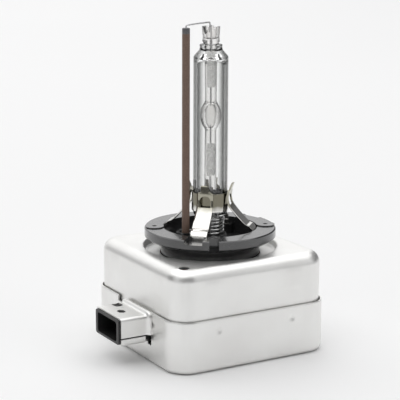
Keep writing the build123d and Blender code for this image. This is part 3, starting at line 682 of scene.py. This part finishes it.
def make_foil(name, node):
    """Sealing foil with feathered ends and a slight ripple."""
    low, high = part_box(node)
    columns, rows = 12, 40
    feathered = 0.18  # share of the foil's half length that narrows at each end
    work = bmesh.new()
    grid = []
    for row in range(rows + 1):
        z = low.z + (high.z - low.z) * row / rows
        taper = 1 - 0.25 * max(0.0, abs(2 * row / rows - 1) - 1 + feathered) / feathered
        line = []
        for column in range(columns + 1):
            across = 2 * column / columns - 1
            ripple = 0.012 * MM * noise.noise(Vector((across * 2, z / (0.8 * MM), 0)))
            line.append(work.verts.new((high.x * across * taper, ripple, z)))
        grid.append(line)
    fill_grid(work, grid)
    piece = mesh_object(name, work)
    modify(piece, "SOLIDIFY", thickness=FOIL_THICK, offset=0)
    smooth_by_angle(piece, 50)
    place(piece, "molybdenum", node)


# ---- return lead
def make_sleeve():
    """The ceramic sleeve, with the small bows and swellings that firing leaves."""
    radius = (sleeve_high.x - sleeve_low.x) / 2
    body = [(SLEEVE_BORE, sleeve_low.z, 0), (radius, sleeve_low.z, 0.12 * MM),
            (radius, sleeve_high.z, 0.05 * MM), (SLEEVE_BORE, sleeve_high.z, 0)]
    stations = rounded_profile(body)
    wall = [(radius, z) for z in even(sleeve_low.z + 1 * MM, sleeve_high.z - 1 * MM, 60)]
    split = max(i for i, (r, z) in enumerate(stations) if r > radius * 0.999 and z < wall[0][1])
    stations[split + 1:split + 1] = wall

    def fired(r, z, angle):
        """Swell the outer wall unevenly and leave the bore round."""
        if r < radius * 0.9:
            return r, z
        lump = noise.noise(Vector((cos(angle), sin(angle), z / (4 * MM))))
        return r - 0.012 * MM * (1 + lump), z

    piece = lathe("sleeve", [stations], segments=40, centre=(rod_x, rod_y), shape=fired)
    place(piece, "brown_ceramic", "ceramic_sleeve")


def make_sleeve_plug():
    """The glazed plug that closes the sleeve's top around the wire."""
    radius = (tip_high.x - tip_low.x) / 2
    plug = [(WIRE_RADIUS, tip_low.z, 0), (radius, tip_low.z, 0.05 * MM),
            (radius, tip_high.z - 0.1 * MM, 0.25 * MM), (radius * 0.5, tip_high.z, 0.2 * MM),
            (WIRE_RADIUS, tip_high.z - 0.02 * MM, 0)]
    piece = lathe("sleeve_plug", [rounded_profile(plug)], segments=40, centre=(rod_x, rod_y))
    place(piece, "grey_glaze", "sleeve_tip")


def make_return_wire():
    """The wire from its weld beside the upper lead, over an arch and down the sleeve."""
    way = Vector((rod_x, rod_y, 0)).normalized()
    top = wire_high.z - WIRE_RADIUS
    weld = way * WELD_REACH
    line = [(weld.x, weld.y, top - drop) for drop in (2.4 * MM, 1.2 * MM, 0.35 * MM)]
    for reach, drop in ((0.6, 0.02), (1.6, 0.02), (4.6, 0.04), (7.6, 0.18)):
        line.append((*(way * reach * MM)[:2], top - drop * MM))
    middle = 50 * MM  # any height within the sleeve keeps the wire straight
    for z in (top - 0.22 * MM, top - 0.9 * MM, sleeve_high.z, middle, wire_low.z):
        line.append((rod_x, rod_y, z))
    piece = wire_mesh("return_lead", line, WIRE_RADIUS * 0.98)
    place(piece, "lead_wire", "return_wire")


# ---- clamp
def cutter_prism(outline, depth, matrix):
    """A prism for cutting: an outline in X-Z pushed along Y both ways."""
    work = bmesh.new()
    front = [work.verts.new((x, -depth, z)) for x, z in outline]
    back = [work.verts.new((x, depth, z)) for x, z in outline]
    work.faces.new(front)
    work.faces.new(back[::-1])
    count = len(outline)
    for step in range(count):
        after = (step + 1) % count
        work.faces.new((front[after], front[step], back[step], back[after]))
    bmesh.ops.recalc_face_normals(work, faces=work.faces)
    bmesh.ops.transform(work, matrix=matrix, verts=work.verts)
    return mesh_object("cutter", work)


def facing_x(radius):
    """Turn a cutter so that it cuts along X at a distance from the axis."""
    return Matrix.Translation((radius, 0, 0)) @ Matrix.Rotation(pi / 2, 4, "Z")


def carve(piece, cutter, operation="DIFFERENCE"):
    """Cut or join with another mesh and remove that mesh."""
    modify(piece, "BOOLEAN", operation=operation, object=cutter, solver="EXACT")
    bpy.data.objects.remove(cutter)


def even(start, end, count):
    """Evenly spaced numbers from start to end, with both ends."""
    return [start + (end - start) * step / count for step in range(count + 1)]


def smooth_line(points):
    """A smooth line through (r, z) points, as a Catmull-Rom spline."""
    per_span = 8
    padded = [points[0], *points, points[-1]]
    result = []
    for a, b, c, d in zip(padded, padded[1:], padded[2:], padded[3:]):
        for step in range(per_span):
            t = step / per_span
            result.append(tuple(
                0.5 * (2 * q + (r - p) * t + (2 * p - 5 * q + 4 * r - s) * t * t
                       + (3 * q - p - 3 * r + s) * t ** 3)
                for p, q, r, s in zip(a, b, c, d)))
    result.append(points[-1])
    return result


def leg_line(foot_z, tip_z):
    """(r, z) points of a leg's outer face, from its foot in the cap up to its flared tip."""
    weld_r = collar_radius + LEG_GAP + LEG_THICK
    foot_r = sqrt(WELL_RADIUS ** 2 - (LEG_WIDTH / 2) ** 2) - LEG_GAP
    low, high = collar_low.z, collar_high.z
    corners = ((foot_r, foot_z, ((0, 0), (0, 0.9), (-0.05, 1.6), (-0.85, 2.7), (-1.95, 3.25))),
               (weld_r, low, ((3.0, -1.45), (1.6, 0.05), (0.4, 1.6), (0, 3.0))),
               (weld_r, high, ((0, -0.5), (0.22, 0.6))), (weld_r, tip_z, ((0.85, -0.25),)))
    return smooth_line([(r + out * MM, z + up * MM) for r, z, steps in corners for out, up in steps])


def window_outline():
    """(y, z) points of the arched window in a leg."""
    sill = collar_low.z + WINDOW_SILL
    spring_line = sill + WINDOW_STRAIGHT
    arch = []
    for step in range(15):
        angle = pi * step / 14
        arch.append((WINDOW_HALF * cos(angle), spring_line + 0.85 * WINDOW_HALF * sin(angle)))
    return [(WINDOW_HALF, sill), *arch, (-WINDOW_HALF, sill)]


def make_leg(name, node, angle):
    """One bent leg: rolled strip with eased edges, an arched window and a flared tip."""
    low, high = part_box(node)
    path = leg_line(low.z, high.z)
    columns = 10
    narrow_from = collar_high.z + 0.3 * MM
    work = bmesh.new()
    rows = []
    for index, (r, z) in enumerate(path):
        before = path[max(index - 1, 0)]
        after = path[min(index + 1, len(path) - 1)]
        run = Vector((after[0] - before[0], after[1] - before[1])).normalized()
        half = LEG_WIDTH / 2
        if z > narrow_from:
            half -= TIP_INSET * min(1.0, (z - narrow_from) / (0.5 * MM))
        row = []
        for column in range(columns + 1):
            y = half * (2 * column / columns - 1)
            row.append(work.verts.new((r - LEG_THICK * run.y / 2, y, z + LEG_THICK * run.x / 2)))
        rows.append(row)
    fill_grid(work, rows)
    piece = mesh_object(name, work)
    modify(piece, "SOLIDIFY", thickness=LEG_THICK * 0.96, offset=0)
    carve(piece, cutter_prism(window_outline(), 2.5 * MM, facing_x(collar_radius + LEG_GAP)))
    ease_edges(piece, 0.07 * MM, 50)
    piece.data.transform(Matrix.Rotation(radians(angle), 4, "Z"))
    smooth_by_angle(piece, 40)
    place(piece, "clamp_steel", node)


def make_collar():
    """Split band around the burner, with rolled edges and a small foot flare."""
    radius = collar_radius
    inner = radius - COLLAR_WALL
    waist = radius - 0.03 * MM
    low, high = collar_low.z, collar_high.z
    outline = [(inner, low, 0.05 * MM), (radius, low, 0.1 * MM), (radius, low + 0.4 * MM, 0.2 * MM),
               (waist, low + 0.8 * MM, 0.3 * MM), (waist, high - 0.3 * MM, 0.1 * MM),
               (radius, high, 0.1 * MM), (inner, high, 0.05 * MM)]
    piece = lathe("collar_band", [rounded_profile(outline)], segments=160)
    slot = [(-SPLIT_HALF, low - MM), (SPLIT_HALF, low - MM), (SPLIT_HALF, high + MM),
            (-SPLIT_HALF, high + MM)]
    carve(piece, cutter_prism(slot, 2 * MM, facing_x(radius)))
    smooth_by_angle(piece, 40)
    place(piece, "clamp_steel", "clamp_collar", SHADED_COLLAR_STEEL)


def make_contact_coil():
    """Round-wire coil with closed end turns, standing on the cap's tower."""
    radius = spring_high.x - COIL_WIRE_RADIUS
    low = spring_low.z + COIL_WIRE_RADIUS
    high = spring_high.z - COIL_WIRE_RADIUS
    closed = 0.6  # turns that lie flat at each end
    per_turn = 16
    line = []
    for step in range(int(COIL_TURNS * per_turn) + 1):
        turn = step / per_turn
        share = min(max((turn - closed) / (COIL_TURNS - 2 * closed), 0.0), 1.0)
        angle = 2 * pi * turn
        line.append((radius * cos(angle), radius * sin(angle), low + (high - low) * share))
    piece = wire_mesh("contact_coil", line, COIL_WIRE_RADIUS * 0.97, resolution=4, sides=3)
    place(piece, "spring_steel", "contact_spring")


# ---- moulded pieces
def make_eased(node, width, slot):
    """A CAD node's own shape with its sharp edges rounded over and its flat faces level."""
    work = bmesh.new()
    work.from_mesh(nodes[node].data)
    bmesh.ops.remove_doubles(work, verts=work.verts, dist=1e-6)
    bmesh.ops.dissolve_limit(work, angle_limit=radians(0.5), verts=work.verts, edges=work.edges)
    piece = mesh_object(node + "_eased", work)
    ease_edges(piece, width, 35)
    smooth_by_angle(piece, 40)
    modify(piece, "WEIGHTED_NORMAL", mode="FACE_AREA", weight=100, keep_sharp=True)
    place(piece, slot, node)


# ---- drawn cans of the case
def square_ring(half, corner, z):
    """A square with rounded corners as a ring of points, the same count for every size."""
    reach = half - corner
    side = [(half, reach * (2 * step / SIDE_STEPS - 1)) for step in range(SIDE_STEPS)]
    for step in range(BEND_STEPS):
        angle = pi * step / BEND_STEPS / 2
        side.append((reach + corner * cos(angle), reach + corner * sin(angle)))
    ring = []
    for ahead, aside in ((1, 0), (0, 1), (-1, 0), (0, -1)):
        ring += [Vector((x * ahead - y * aside, x * aside + y * ahead, z)) for x, y in side]
    return ring


def round_ring(radius, z):
    """A circle whose points lie in the same directions as a square ring's."""
    ring = []
    for point in square_ring(skirt_half, skirt_corner, z):
        flat = Vector((point.x, point.y, 0)).normalized() * radius
        ring.append(Vector((flat.x, flat.y, z)))
    return ring


def blend_rings(first, second, share):
    """A ring part of the way from one ring to another."""
    return [a.lerp(b, share) for a, b in zip(first, second)]


def soft_square(u, v, half, corner, soft):
    """1 inside a rounded square, falling smoothly to 0 across its edge."""
    beyond_u = max(abs(u) - half + corner, 0.0)
    beyond_v = max(abs(v) - half + corner, 0.0)
    outside = hypot(beyond_u, beyond_v) - corner
    share = min(max(0.5 - outside / soft, 0.0), 1.0)
    return share * share * (3 - 2 * share)


def press(ring, half, offsets, height_at, depth_at):
    """Push a wall ring's points in or out where features are pressed into its four sides."""
    result = []
    for point in ring:
        moved = point.copy()
        for axis, other in ((0, 1), (1, 0)):
            if abs(point[axis]) > half - 0.01 * MM:
                side = 1 if point[axis] > 0 else -1
                push = sum(depth_at(point[other] - offset, point.z - height_at) for offset in offsets)
                moved[axis] += side * push
        result.append(moved)
    return result


def shell_from_rings(name, rings, closed=True, capped=False):
    """A sheet-metal shell lofted through rings, joined end to start, capped or left as it ends."""
    work = bmesh.new()
    loops = [[work.verts.new(point) for point in ring] for ring in rings]
    for low, high in zip(loops, loops[1:] + loops[:1] if closed else loops[1:]):
        join_rings(work, low, high)
    if capped:
        for loop, turned_over in ((loops[0], False), (loops[-1], True)):
            for step in range(len(loop) // 2 - 1):
                face = [loop[step], loop[step + 1], loop[-2 - step], loop[-1 - step]]
                work.faces.new(face[::-1] if turned_over else face)
    bmesh.ops.recalc_face_normals(work, faces=work.faces)
    return mesh_object(name, work)


def corner_round(half, corner, radius, z_edge, direction, steps=10):
    """Rings round the edge between a flat plate and the wall, from plate to wall."""
    rings = []
    for step in range(steps + 1):
        angle = pi / 2 * step / steps
        inset = radius * (1 - sin(angle))
        z = z_edge - direction * radius * (1 - cos(angle))
        rings.append(square_ring(half - inset, max(corner - inset, 0.5 * MM), z))
    return rings


def box_cutter(low, high):
    """A box for cutting, between two corners."""
    outline = [(low[0], low[2]), (high[0], low[2]), (high[0], high[2]), (low[0], high[2])]
    middle = (low[1] + high[1]) / 2
    return cutter_prism(outline, (high[1] - low[1]) / 2, Matrix.Translation((0, middle, 0)))


def trough(name, stations, edge_z, plate_z, corner):
    """A U-shaped channel along X whose outside grows by a length at each station."""
    side = 1 if plate_z > edge_z else -1
    rings = []
    for x, grow in stations:
        outer = u_path(SHROUD_HALF + grow, edge_z, plate_z + side * grow, corner + grow, side)
        inner = u_path(SHROUD_HALF - SHEET, edge_z, plate_z - side * SHEET, corner - SHEET, side)
        rings.append([Vector((x, SHROUD_Y + y, z)) for y, z in outer + inner[::-1]])
    return shell_from_rings(name, rings, closed=False, capped=True)


def u_path(half, edge_z, plate_z, corner, side):
    """(y, z) points of a U: up one side, over the plate with rounded corners, down the other."""
    steps = 8
    flank = [(-half, z) for z in even(edge_z, plate_z - side * corner, 4)]
    for step in range(1, steps + 1):
        angle = pi / 2 * step / steps
        flank.append((-half + corner * (1 - cos(angle)),
                      plate_z - side * corner * (1 - sin(angle))))
    plate = [(y, plate_z) for y in even(-half + corner, half - corner, 12)[1:-1]]
    return flank + plate + [(-y, z) for y, z in flank[::-1]]


def stadium_cutter(centre, long_side, wide, low_z, high_z):
    """A vertical slot-shaped cutter, long along Y."""
    radius = wide / 2
    reach = long_side / 2 - radius
    outline = [(radius * cos(pi * step / 12), reach + radius * sin(pi * step / 12))
               for step in range(13)]
    outline += [(-x, -y) for x, y in outline]
    turn = Matrix.Translation((*centre, (low_z + high_z) / 2)) @ Matrix.Rotation(pi / 2, 4, "X")
    return cutter_prism(outline, (high_z - low_z) / 2, turn)


def hood_stations(start, end):
    """Places along the shroud, with the rolled flange at its root."""
    root = -case_half
    plain = [(x, 0.0) for x in even(start, root - 1.3 * MM, 10)]
    flange = ((-0.95, 0.1), (-0.75, 0.35), (-0.6, 0.62), (-0.45, 0.76), (-0.3, 0.8), (-0.02, 0.8),
              (0, 0.76), (0.02, 0))
    return plain + [(root + x * MM, grow * MM) for x, grow in flange] + [(end, 0.0)]


def quarter_turn(steps=6):
    """Sine and cosine at even steps through a quarter turn."""
    return [(sin(pi / 2 * step / steps), cos(pi / 2 * step / steps))
            for step in range(steps + 1)]


def recess_rings():
    """Rings of the dished recess, from the hole's underside out to the top plate's rim."""
    floor_z = case_top - RECESS_DEPTH
    rings = [round_ring(HOLE_RADIUS, floor_z - SHEET),
             round_ring(HOLE_RADIUS - 0.02 * MM, floor_z - 0.08 * MM),
             round_ring(HOLE_RADIUS + 0.08 * MM, floor_z)]
    rings += [round_ring(r, floor_z) for r in even(HOLE_RADIUS + 1 * MM, RECESS_RADIUS - 0.6 * MM, 3)]
    for sine, cosine in quarter_turn()[1:]:
        rings.append(round_ring(RECESS_RADIUS - RECESS_FOOT_ROUND * (1 - sine),
                                floor_z + RECESS_FOOT_ROUND * (1 - cosine)))
    for sine, cosine in quarter_turn():
        rings.append(round_ring(RECESS_RADIUS + RECESS_RIM_ROUND * (1 - cosine),
                                case_top - RECESS_RIM_ROUND * (1 - sine)))
    return rings


def under_rings(inner_half):
    """Rings of the top plate's underside, from its rounded edge in to the recess and down."""
    under_z = case_top - SHEET
    floor_z = case_top - RECESS_DEPTH
    rings = corner_round(inner_half, skirt_corner - SHEET, TOP_ROUND - SHEET, under_z, 1, 8)[::-1]
    rim = round_ring(RECESS_RADIUS + SHEET, under_z)
    plate = square_ring(inner_half - TOP_ROUND, skirt_corner - TOP_ROUND, under_z)
    rings += [blend_rings(plate, rim, share) for share in even(0, 1, 3)]
    rings += [round_ring(RECESS_RADIUS + SHEET, z) for z in (floor_z + 0.3 * MM, floor_z - SHEET + 0.1 * MM)]
    rings.append(round_ring(RECESS_RADIUS + 0.1 * MM, floor_z - SHEET))
    return rings


def skirt_heights():
    """Heights of the skirt's rings above the lower can's rim, and of those down to the foot."""
    upper = even(case_top - TOP_ROUND, seam - 0.5 * MM, 26)
    return upper, even(seam - 1.5 * MM, skirt_foot, 5)


def pad(u, v):
    """How far a raised pad stands out at a place on its side."""
    return PAD_HEIGHT * soft_square(u, v, PAD_HALF, PAD_CORNER, PAD_SOFT)


def detent(u, v):
    """How far a detent's dimple goes in at a place on its side."""
    return -DETENT_DEPTH * exp(-((u * u + v * v) / DETENT_RADIUS ** 2) ** 1.5)


def make_hood():
    """The connector's hood: a rolled flange at its root, and two slots in its top."""
    hood = trough("hood", hood_stations(mouth_x, -skirt_half + 0.2 * MM), skirt_foot, SHROUD_TOP, HOOD_ROUND)
    for (x, y), long_side, wide in HOOD_SLOTS:
        place_at = (mouth_x + x * MM, SHROUD_Y + y * MM)
        carve(hood, stadium_cutter(place_at, long_side * MM, wide * MM,
                                   SHROUD_TOP - 2 * SHEET, SHROUD_TOP + SHEET))
    return hood


def make_upper_can():
    """Cover: dished recess, soft raised pads on its sides, vent, and the connector's hood."""
    inner_half = skirt_half - SHEET
    rings = recess_rings()
    rim = round_ring(RECESS_RADIUS + 2 * RECESS_RIM_ROUND, case_top)
    plate = square_ring(skirt_half - TOP_ROUND, skirt_corner - TOP_ROUND, case_top)
    rings += [blend_rings(rim, plate, share) for share in even(0, 1, 6)[:-1]]
    rings += corner_round(skirt_half, skirt_corner, TOP_ROUND, case_top, 1, 14)
    upper, lower = skirt_heights()
    rings += [square_ring(skirt_half, skirt_corner, z) for z in upper[1:] + lower]
    rings += [square_ring(inner_half, skirt_corner - SHEET, z) for z in lower[::-1] + upper[::-1]]
    rings += under_rings(inner_half)

    pressed = []
    for ring in rings:
        half = max(point.x for point in ring)
        walls = half > inner_half - 0.9 * MM and ring[0].z < case_top - 0.5 * MM
        pressed.append(press(ring, half, (-PAD_OFFSET, PAD_OFFSET), PAD_Z, pad) if walls else ring)
    piece = shell_from_rings("case_cover", pressed)

    carve(piece, box_cutter((-case_half - MM, SHROUD_Y - SHROUD_HALF + SHEET, skirt_foot - MM),
                            (-inner_half + SHEET, SHROUD_Y + SHROUD_HALF - SHEET, SHROUD_TOP - SHEET)))
    carve(piece, make_hood(), "UNION")
    carve(piece, stadium_cutter((VENT_AT, VENT_AT), VENT_WIDTH + 0.01 * MM, VENT_WIDTH,
                                case_top - MM, case_top + MM))
    smooth_by_angle(piece, 40)
    place(piece, "case_steel", "upper_can")


def make_lower_can():
    """Open drawn can: rounded underside, rolled rim, pressed detents and the connector's tray."""
    inner_half, inner_corner = case_half - SHEET, CASE_CORNER - SHEET
    flat = [((case_half - BOTTOM_ROUND) * share, (CASE_CORNER - BOTTOM_ROUND) * share)
            for share in (0.2, 0.5, 0.8)]
    under = [[Vector((0, 0, 0))]] + [square_ring(half, corner, 0) for half, corner in flat]
    wall_z = even(BOTTOM_ROUND, seam - 0.15 * MM, 30)
    walls = corner_round(case_half, CASE_CORNER, BOTTOM_ROUND, 0, -1)
    walls += [square_ring(case_half, CASE_CORNER, z) for z in wall_z[1:]]
    walls += [square_ring(case_half - inset * MM, CASE_CORNER - inset * MM, seam - drop * MM)
              for inset, drop in ((0.06, 0.03), (0.2, 0), (0.34, 0.03))]
    walls += [square_ring(inner_half, inner_corner, z) for z in wall_z[:0:-1]]
    walls += corner_round(inner_half, inner_corner, BOTTOM_ROUND - SHEET, SHEET, -1, 6)[::-1]
    over = [square_ring(half, corner, SHEET) for half, corner in flat[::-1]] + [[Vector((0, 0, SHEET))]]
    walls = [press(ring, max(point.x for point in ring), (-DETENT_OFFSET, DETENT_OFFSET), DETENT_Z, detent)
             for ring in walls]
    piece = shell_from_rings("case_tray", under + walls + over, closed=False)

    outside, inside = -case_half - MM, -case_half + 2 * SHEET
    left, right = SHROUD_Y - SHROUD_HALF, SHROUD_Y + SHROUD_HALF
    carve(piece, box_cutter((outside, left - DOOR_PLAY, skirt_foot),
                            (inside, right + DOOR_PLAY, seam + MM)))
    carve(piece, box_cutter((outside, left + SHEET, SHROUD_FOOT + SHEET),
                            (inside, right - SHEET, skirt_foot + MM)))
    stations = [(x, 0.0) for x in even(mouth_x, -case_half + SHEET / 2, 8)]
    carve(piece, trough("tray", stations, skirt_foot - HOOD_GAP, SHROUD_FOOT, TRAY_ROUND), "UNION")
    for side in (-1, 1):
        edge_y = SHROUD_Y + side * SHROUD_HALF
        near, far = sorted((edge_y + side * RELIEF_OUTWARD, edge_y - side * RELIEF_REACH))
        carve(piece, box_cutter((-case_half - RELIEF_REACH, near, skirt_foot - RELIEF_DROP),
                                (inside, far, skirt_foot + MM)))
    carve(piece, box_cutter((outside, left - DOOR_PLAY, seam - RIM_NOTCH_DEPTH),
                            (inside, right + RIM_NOTCH_PAST, seam + MM)))
    smooth_by_angle(piece, 40)
    place(piece, "case_steel", "lower_can")


make_envelope()
make_arc_tube()
make_foil("upper_foil_sheet", "upper_foil")
make_foil("lower_foil_sheet", "lower_foil")
make_sleeve()
make_sleeve_plug()
make_return_wire()
for leg, leg_angle in (("front", 225), ("right", 315), ("back", 45), ("left", 135)):
    make_leg(f"{leg}_leg", f"clamp_leg_{leg}", leg_angle)
make_collar()
make_contact_coil()
make_eased("cap_ring", 0.14 * MM, "cap_plastic")
make_eased("connector_housing", 0.12 * MM, "black_plastic")
make_upper_can()
make_lower_can()


# ---- stage, light and camera
def area_light(name, place_at, aim, size, power):
    """A soft rectangular light that faces a point."""
    data = bpy.data.lights.new(name, "AREA")
    data.shape = "RECTANGLE"
    data.size, data.size_y = size
    data.energy = power
    lamp = new_object(name, data)
    lamp.location = place_at
    direction = Vector(aim) - Vector(place_at)
    lamp.rotation_euler = direction.to_track_quat("-Z", "Y").to_euler()
    lamp.visible_camera = False


def make_stage():
    """A pale floor, a soft grey world and soft lights behind, above and to the sides."""
    floor_mesh = bpy.data.meshes.new("floor")
    reach = 6.0
    floor_mesh.from_pydata([(-reach, -reach, 0), (reach, -reach, 0), (reach, reach, 0), (-reach, reach, 0)],
                           [], [(0, 1, 2, 3)])
    floor = new_object("floor", floor_mesh)
    paper = Shader("floor_paper", (0.9, 0.9, 0.9), 0.9)
    paper.vary_colour(paper.noise(400 * MM, detail=1.0), (0.895, 0.895, 0.895), (0.905, 0.905, 0.905))
    dress(floor, paper.material)

    world = bpy.data.worlds.new("studio")
    world.use_nodes = True
    world.node_tree.nodes["Background"].inputs["Color"].default_value = (0.16, 0.16, 0.162, 1.0)
    world.node_tree.nodes["Background"].inputs["Strength"].default_value = 1.0
    bpy.context.scene.world = world

    middle = (0, 0, 0.04)
    area_light("back_light", (0.28, 2.0, 0.75), middle, (3.4, 1.5), 13.0)
    area_light("top_light", (0.0, 0.2, 1.6), middle, (3.2, 3.2), 44.0)
    area_light("left_light", (-0.8, -0.15, 0.35), middle, (0.5, 0.6), 0.5)
    area_light("right_light", (0.55, -0.7, 0.4), middle, (0.6, 0.6), 0.8)


VIEW_AZIMUTH = radians(-30.16)
VIEW_ELEVATION = radians(12.62)
VIEW_ROLL = radians(0.22)
VIEW_DISTANCE = 343.6 * MM
AIM_RIGHT = -2.48 * MM
AIM_UP = 34.58 * MM
FOCAL_RATIO = 3.4535  # focal length over sensor width
SENSOR_WIDTH = 36.0


def make_camera():
    """Camera at the reference viewing angle."""
    level = cos(VIEW_ELEVATION)
    back = Vector((sin(VIEW_AZIMUTH) * level, -cos(VIEW_AZIMUTH) * level, sin(VIEW_ELEVATION)))
    right = Vector((cos(VIEW_AZIMUTH), sin(VIEW_AZIMUTH), 0))
    up = back.cross(right)
    data = bpy.data.cameras.new("camera")
    data.sensor_width = SENSOR_WIDTH
    data.lens = FOCAL_RATIO * SENSOR_WIDTH
    data.clip_start = 0.01
    camera = new_object("camera", data)
    turn = Matrix((right, up, back)).transposed().to_4x4() @ Matrix.Rotation(VIEW_ROLL, 4, "Z")
    aim = right * AIM_RIGHT + up * AIM_UP
    camera.matrix_world = Matrix.Translation(aim + back * VIEW_DISTANCE) @ turn
    bpy.context.scene.camera = camera


make_stage()
make_camera()
bpy.context.scene.view_settings.view_transform = "Standard"
